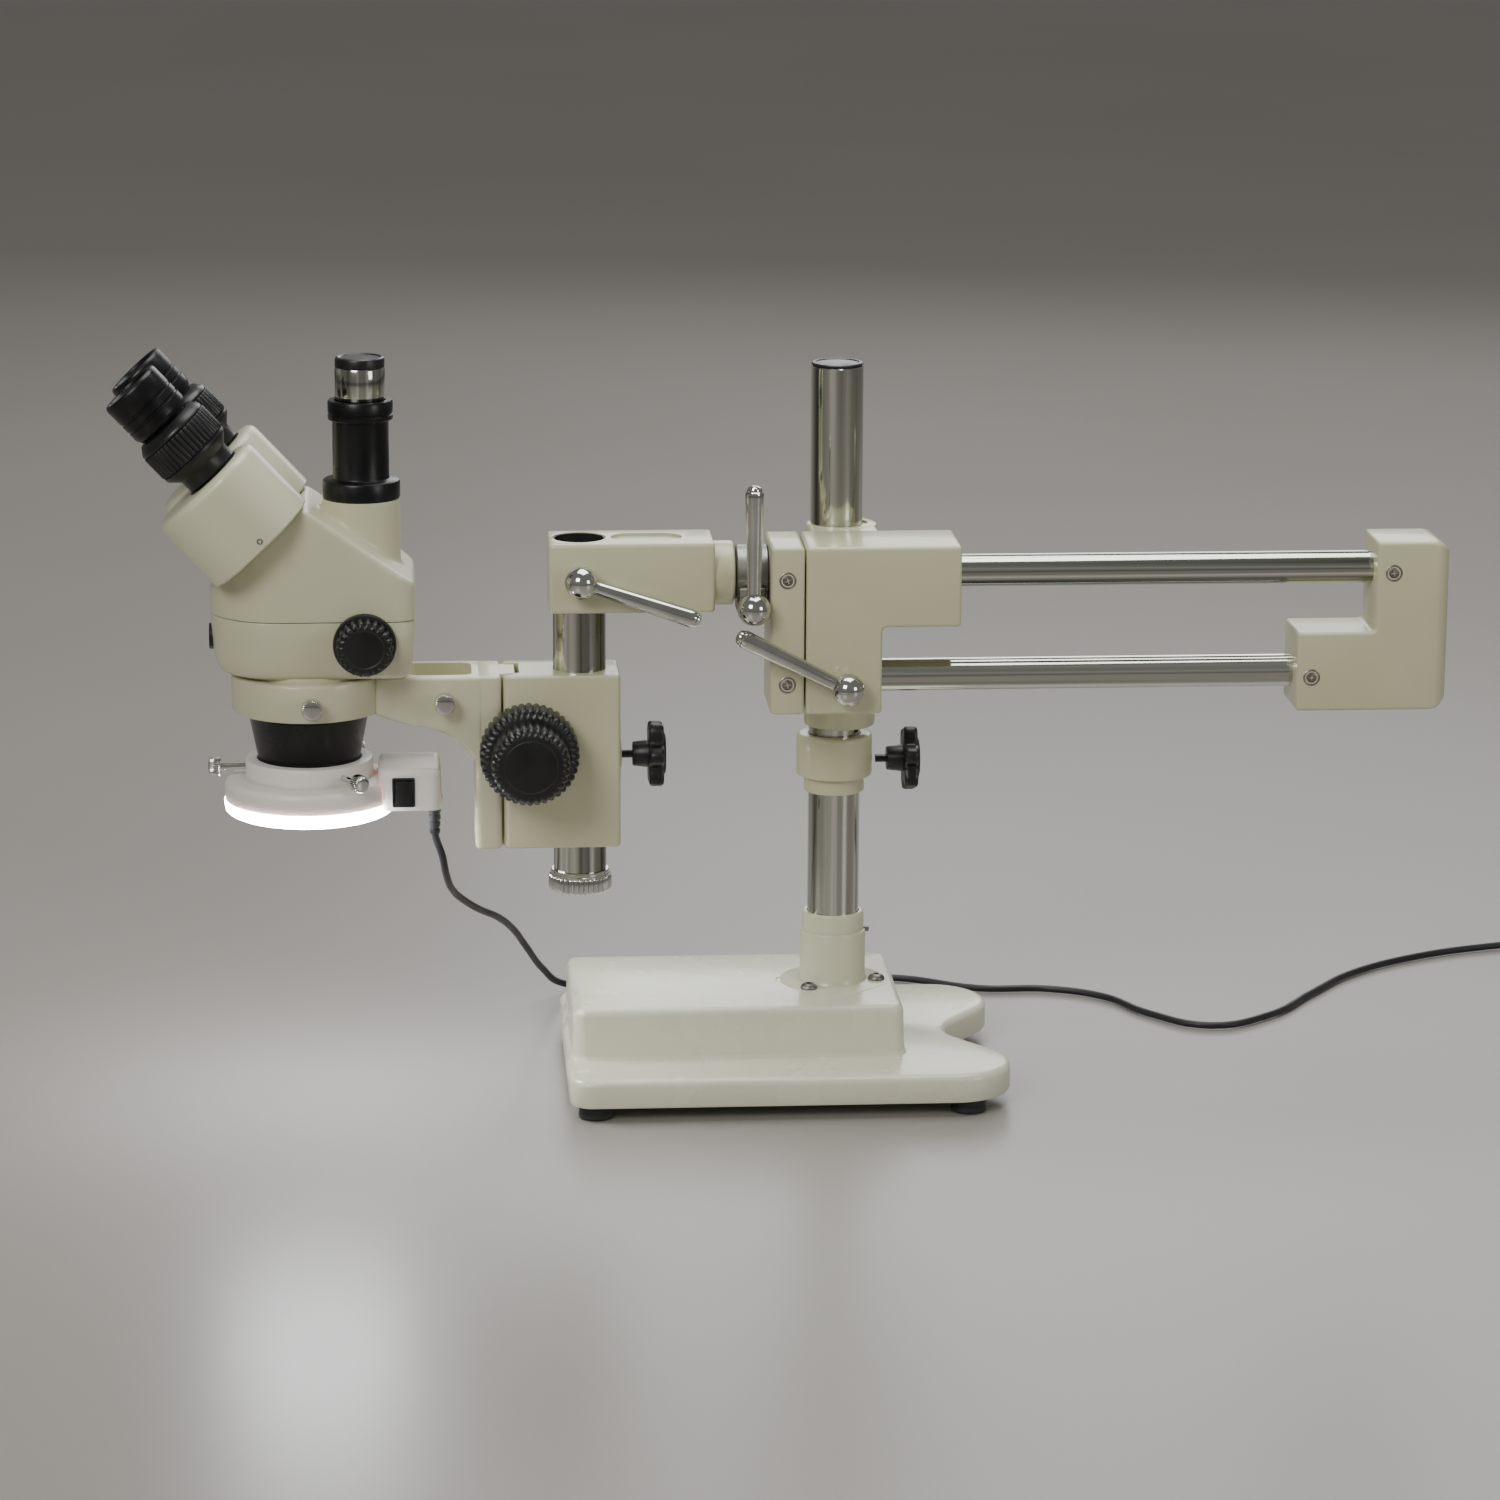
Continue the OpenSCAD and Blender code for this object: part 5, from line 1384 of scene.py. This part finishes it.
def on_pod(side, x, z):
    return (pod_x + x * math.cos(pod_tilt) - z * math.sin(pod_tilt), mid_y + side, pod_z + x * math.sin(pod_tilt) + z * math.cos(pod_tilt))


for side, hand in ((near_side, "left"), (far_side, "right")):
    pod_piece = pod("pod_shell_" + hand)
    stands_for(settle(pod_piece, (pod_x, mid_y + side, pod_z), lean), "pod_" + hand, smooth=28)
    outward = -1 if side < 0 else 1
    grub = turned("pod_grub_" + hand, [(0, -0.9), (1.9, -0.9), (1.9, 0.05), (1.6, 0.3), (1.2, 0.3), (0.9, 0.1), (0.7, -0.5), (0, -0.5)], 32)
    rides_with(settle(grub, on_pod(side + outward * pod_half, 4.8, 5.5), (0, outward, 0)), "pod_" + hand, "dark_steel")
    seat_ring = turned("seat_ring_" + hand, [(15.1, pod_length - 1), (18.3, pod_length - 1), (18.3, pod_length + 0.2), (17.6, pod_length + 0.7), (15.1, pod_length + 0.7)], 64)
    rides_with(settle(seat_ring, on_pod(side, 9, 0), lean), "pod_" + hand, "black_anodised")
    ring = turned("dioptre_base", [
        (15.1, pod_length + 0.9), (16.6, pod_length + 0.9), (17, pod_length + 1.4), (17, pod_length + 8.6),
        (17.4, pod_length + 9.4), (22.4, pod_length + 14.2), (23.0, pod_length + 15.2), (23.0, pod_length + 17),
        (22.2, pod_length + 17.4), (22.2, pod_length + 34), (23.0, pod_length + 34.4), (23.0, pod_length + 35.4),
        (22.6, pod_length + 36.2), (19.6, pod_length + 40.2), (19.0, pod_length + 40.4), (15.1, pod_length + 40.4)], 80)
    ribs = stacked("dioptre_ribs", stack_of(fluted(23.5, 1.0, 44, 4), [
        (1.6, pod_length + 17.3), (0.3, pod_length + 17.8), (0, pod_length + 18.6), (0, pod_length + 32.8),
        (0.3, pod_length + 33.6), (1.6, pod_length + 34.1)]))
    dioptre = joined("dioptre_ring_" + hand, ring, ribs)
    stands_for(settle(dioptre, on_pod(side, 9, 0), lean), "dioptre_" + hand, smooth=38)
    tip = 121
    eyepiece = turned("eyepiece_" + hand + "_body", [
        (12.1, pod_length - 5), (14.9, pod_length - 5), (14.9, pod_length + 41), (16.8, pod_length + 41.2),
        (17.6, pod_length + 42), (18.9, pod_length + 44.6), (19.2, pod_length + 46), (19.2, pod_length + 50),
        (18.7, pod_length + 50.5), (18.7, pod_length + 51.5), (19.2, pod_length + 52), (19.2, pod_length + 56),
        (18.7, pod_length + 56.5), (18.7, pod_length + 57.5), (19.2, pod_length + 58), (19.2, tip - 2.4),
        (18.8, tip - 0.9), (18.0, tip - 0.1), (17.0, tip), (16.2, tip - 0.5), (15.2, tip - 2.6),
        (12.4, tip - 4.8), (12.1, tip - 5.4)], 80)
    stands_for(settle(eyepiece, on_pod(side, 9, 0), lean), "eyepiece_" + hand)
    eye_lens = turned("eye_lens_" + hand, [(0, tip - 11), (11.9, tip - 11), (11.9, tip - 7.6), (9, tip - 6.7), (5, tip - 6.1), (0, tip - 5.9)], 56)
    rides_with(settle(eye_lens, on_pod(side, 9, 0), lean), "eyepiece_" + hand, "optical_glass")
print("pods and eyepieces:", 2)

# %% [markdown]
# ## Ring light
# The ring light is a flat off-white ring with a taller hub, clamped round the cone by three long
# screws, and a box that holds the switch. A frosted ring below it covers the lamp.

# %% Ring light
light_low, light_high = span("ring_light_body")
light_z = light_low.z
light_r = 51
rim_top = light_z + 17
light_body = turned("light_body", [
    (31.2, light_z + 0.4), (31.8, light_z), (49.6, light_z), (50.6, light_z + 0.5), (51, light_z + 1.6),
    (51, rim_top - 4), (50.5, rim_top - 2), (49.2, rim_top - 0.7), (47.4, rim_top), (40.4, rim_top + 0.3),
    (39.2, rim_top + 0.9), (38.7, rim_top + 2.2), (38.5, rim_top + 4), (38.5, rim_top + 10.6),
    (38, rim_top + 11.6), (36.9, rim_top + 12), (31.8, rim_top + 12), (31.2, rim_top + 11.4)], 112)
light_body.location = (axis_x, mid_y, 0)
box_y0, box_y1 = mid_y - 27.5, mid_y + 22.5
switch_box = stacked("switch_box", stack_of(
    lambda e: round_box(axis_x + 41 + e, light_high.x - e, box_y0 + e, box_y1 - e, 6 - e, 7), [
        (2.4, light_z), (0.9, light_z + 0.4), (0.2, light_z + 1.4), (0, light_z + 2.6), (0.4, light_z + 21.8),
        (0.9, light_z + 23.8), (1.9, light_z + 25.1), (3.6, light_z + 25.8)]))
window = raised("window", round_box(light_high.x - 29, light_high.x - 17, light_z + 3.5, light_z + 20.5, 1, 3), -(box_y0 + 3), -(box_y0 - 3))
window.rotation_euler.x = math.radians(90)
switch_box = carved(switch_box, window)
light_shell = joined("light_shell", light_body, switch_box)
stands_for(settle(light_shell), "ring_light_body", smooth=32)
frost_low, frost_high = span("ring_light_lens")
frosted = turned("frosted_ring", [
    (31.4, light_z + 0.2), (31.4, frost_low.z + 3), (32.2, frost_low.z + 1.2), (34, frost_low.z + 0.2), (36.5, frost_low.z),
    (43, frost_low.z), (46.6, frost_low.z + 0.4), (49.2, frost_low.z + 1.6), (50.8, frost_low.z + 3.0), (51.4, light_z + 0.8),
    (51.4, light_z + 3.4), (50.9, light_z + 4.0), (50.2, light_z + 4.0), (48.2, light_z + 0.2)], 112)
stands_for(settle(frosted, (axis_x, mid_y, 0)), "ring_light_lens")
print("ring light", round(light_z, 1), "to", round(light_high.z, 1))

# %% Ring light screws, switch and gland
for name, node, angle in (("light_screw_left", "ring_screw_a", 180), ("light_screw_near", "ring_screw_b", -58), ("light_screw_far", "ring_screw_c", 61)):
    a = math.radians(angle)
    made = thumb_screw(name, 5.4, 7.5, 2.0, 22)
    reach = 38.5 + 22 - 7.5
    place = (axis_x + reach * math.cos(a), mid_y + reach * math.sin(a), rim_top + 5.9)
    stands_for(settle(made, place, (math.cos(a), math.sin(a), 0)), node, smooth=35)
rocker_low, rocker_high = span("ring_rocker")
rocker_mid = (rocker_low + rocker_high) / 2
frame_plate = raised("switch_frame", round_box(rocker_low.x - 1.1, rocker_high.x + 1.1, rocker_low.z - 1.5, rocker_high.z + 1.5, 1, 3), -(box_y0 + 1.5), -(box_y0 - 0.7))
opening = raised("opening", [(rocker_low.x + 0.1, rocker_low.z - 0.1), (rocker_high.x - 0.1, rocker_low.z - 0.1), (rocker_high.x - 0.1, rocker_high.z + 0.1), (rocker_low.x + 0.1, rocker_high.z + 0.1)], -(box_y0 + 4), -(box_y0 - 4))
frame_plate = carved(frame_plate, opening)
frame_plate.rotation_euler.x = math.radians(90)
rides_with(settle(rounded(frame_plate, 0.3, 2)), "ring_light_body", "black_knob")
z0, z1, zm = rocker_low.z + 0.3, rocker_high.z - 0.3, rocker_mid.z
rocker = raised("rocker", [(box_y0 + 1.8, z0), (box_y0 - 1.9, z0), (box_y0 - 0.4, zm), (box_y0 - 0.9, z1), (box_y0 + 1.8, z1)], rocker_low.x + 0.7, rocker_high.x - 0.7)
rocker.rotation_euler = (math.radians(90), 0, math.radians(90))
rounded(rocker, 0.35, 2)
stands_for(settle(rocker), "ring_rocker")
gland = turned("strain_relief", [
    (2.35, gland_low.z), (2.9, gland_low.z), (3.2, gland_low.z + 0.6), (3.3, gland_low.z + 3), (2.75, gland_low.z + 3.4),
    (2.8, gland_low.z + 4.4), (3.45, gland_low.z + 4.8), (3.5, gland_low.z + 7.4), (2.95, gland_low.z + 7.8), (3.0, gland_low.z + 8.8),
    (3.6, gland_low.z + 9.2), (3.7, gland_low.z + 11.8), (3.1, gland_low.z + 12.2), (3.2, gland_low.z + 13.2), (3.8, gland_low.z + 13.6),
    (4.0, gland_high.z - 2.4), (4.7, gland_high.z - 1.8), (4.9, gland_high.z - 1), (4.9, gland_high.z), (2.35, gland_high.z)], 40)
stands_for(settle(gland, (gland_x, gland_y, 0)), "cord_gland")
print("switch at", [round(v, 1) for v in rocker_mid])

# %% [markdown]
# ## Plug and tie
# The lead ends in a moulded plug with two flat blades and an earth pin. Its body is a stack of
# rounded outlines with a waist to pull on, and a ribbed cone keeps the lead from kinking. A thin
# strap holds the coil together.

# %% The plug
plug_middle = plug_x
plug_body = stacked("plug_body", stack_of(
    lambda e: round_box(-13 + e, 13 - e, -11 + e, 11 - e, 5 - e, 6), [
        (4.2, 21.2), (2.2, 22), (1.0, 23.6), (0.4, 26), (1.3, 32), (1.9, 37), (1.3, 43), (0.2, 48.4),
        (0, 49.4), (0, 54), (0.6, 55.4), (1.8, 56)]))
relief_cone = turned("relief_cone", [
    (2.4, 0), (3.0, 0), (3.4, 0.6), (3.6, 3), (2.9, 3.4), (3.0, 4.6), (3.9, 5), (4.2, 8), (3.2, 8.4), (3.4, 9.6),
    (4.6, 10), (4.9, 13), (3.7, 13.4), (3.9, 14.6), (5.3, 15), (5.6, 18), (4.4, 18.4), (4.6, 19.4), (6, 20), (6.4, 23), (2.4, 23)], 40)
plug_piece = joined("plug_moulding", plug_body, relief_cone)
stands_for(settle(plug_piece, (plug_x, plug_high.y, 11), (0, -1, 0)), "mains_plug", smooth=35)
blades = []
for x in (-6.3, 6.3):
    blade = stacked("blade", stack_of(
        lambda e: round_box(x - 3.2 + e, x + 3.2 - e, -0.8 + e * 0.4, 0.8 - e * 0.4, 0.5, 3), [
            (0, 55), (0, 71.6), (0.3, 72.6), (0.9, 73.4)]))
    blades.append(blade)
pin = turned("pin", [(0, 55), (2.3, 55), (2.3, 73.4), (1.8, 74.6), (0.8, 75), (0, 75)], 32)
pin.location = (0, -6.5, 0)
plug_pins = joined("plug_pins", *blades, pin)
rides_with(settle(plug_pins, (plug_x, plug_high.y, 11), (0, -1, 0)), "mains_plug", "turned_steel")
strap = raised("lead_strap", round_box(-35.3, -19.5, 0.03, 11.0, 2.6, 5), -3, 3)
inside = raised("inside", round_box(-34.8, -20.0, 0.5, 10.4, 2.2, 5), -6, 6)
strap = carved(strap, inside)
strap.rotation_euler.x = math.radians(90)
strap.location = (coil_middle.x, coil_middle.y, 0)
rides_with(settle(rounded(strap, 0.15, 2)), "cord_coil", "lead_rubber")
print("plug at", round(plug_x, 1), round(plug_high.y, 1))

# %% [markdown]
# ## Floor and light
# The floor is a plain pale sheet with a soft sheen, so that the base is faintly mirrored in it.
# Three large soft lights do the work: a key from the front left and above, a fill from the right
# and a broad light overhead, with a fourth behind. The dim world darkens what the chrome
# reflects, but its dark and bright stripes are mostly painted reflections in its colour.

# %% Floor
bpy.ops.object.select_all(action="DESELECT")
bpy.ops.mesh.primitive_plane_add(size=60, location=(0, 0, -0.0004))
floor = bpy.context.object
floor.name = "studio_floor"
sheet, sheet_shader = finish("studio_sheet", 0.0, 0.34)
tint = shades(sheet, grain(sheet, 1.2, 2), (0.3, (0.29, 0.27, 0.25)), (0.7, (0.315, 0.295, 0.275)))
sheet.node_tree.links.new(tint, sheet_shader.inputs["Base Color"])
floor.data.materials.append(sheet)
floor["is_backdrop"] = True

# %% Lights


def soft_light(name, place, aim, width, power, colour=(1, 1, 1)):
    data = bpy.data.lights.new(name, "AREA")
    data.shape, data.size, data.energy, data.color = "SQUARE", width, power, colour
    lamp = bpy.data.objects.new(name, data)
    bpy.context.scene.collection.objects.link(lamp)
    lamp.location = place
    lamp.rotation_euler = (Vector(aim) - Vector(place)).to_track_quat("-Z", "Y").to_euler()
    return lamp


soft_light("key", (-1.6, -2.6, 2.2), (0, 0, 0.2), 1.3, 56, (1, 0.985, 0.95))
soft_light("fill", (2.4, -2.2, 1.2), (0, 0, 0.2), 1.0, 17, (1, 0.99, 0.97))
soft_light("overhead", (0.2, 0.3, 2.6), (0, 0, 0), 1.8, 52, (1, 1, 1))
soft_light("back", (0.6, 2.8, 1.6), (0, 0, 0.2), 1.6, 22, (0.97, 0.98, 1))
studio = bpy.data.worlds.new("studio")
studio.use_nodes = True
studio.node_tree.nodes["Background"].inputs["Color"].default_value = (0.30, 0.29, 0.275, 1)
studio.node_tree.nodes["Background"].inputs["Strength"].default_value = 0.7
bpy.context.scene.world = studio
print("lights:", 4)

# %% [markdown]
# The looks may stand a little outside the engineering model, and no more. The box round the
# engineering model and the box round the finished looks are written down, so that they can be
# compared.

# %% Write the two boxes and finish
looks_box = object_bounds()
for side, cad, looks in zip("xyz", zip(*cad_box), zip(*looks_box)):
    print(side, [round(v * 1000, 1) for v in cad], [round(v * 1000, 1) for v in looks])
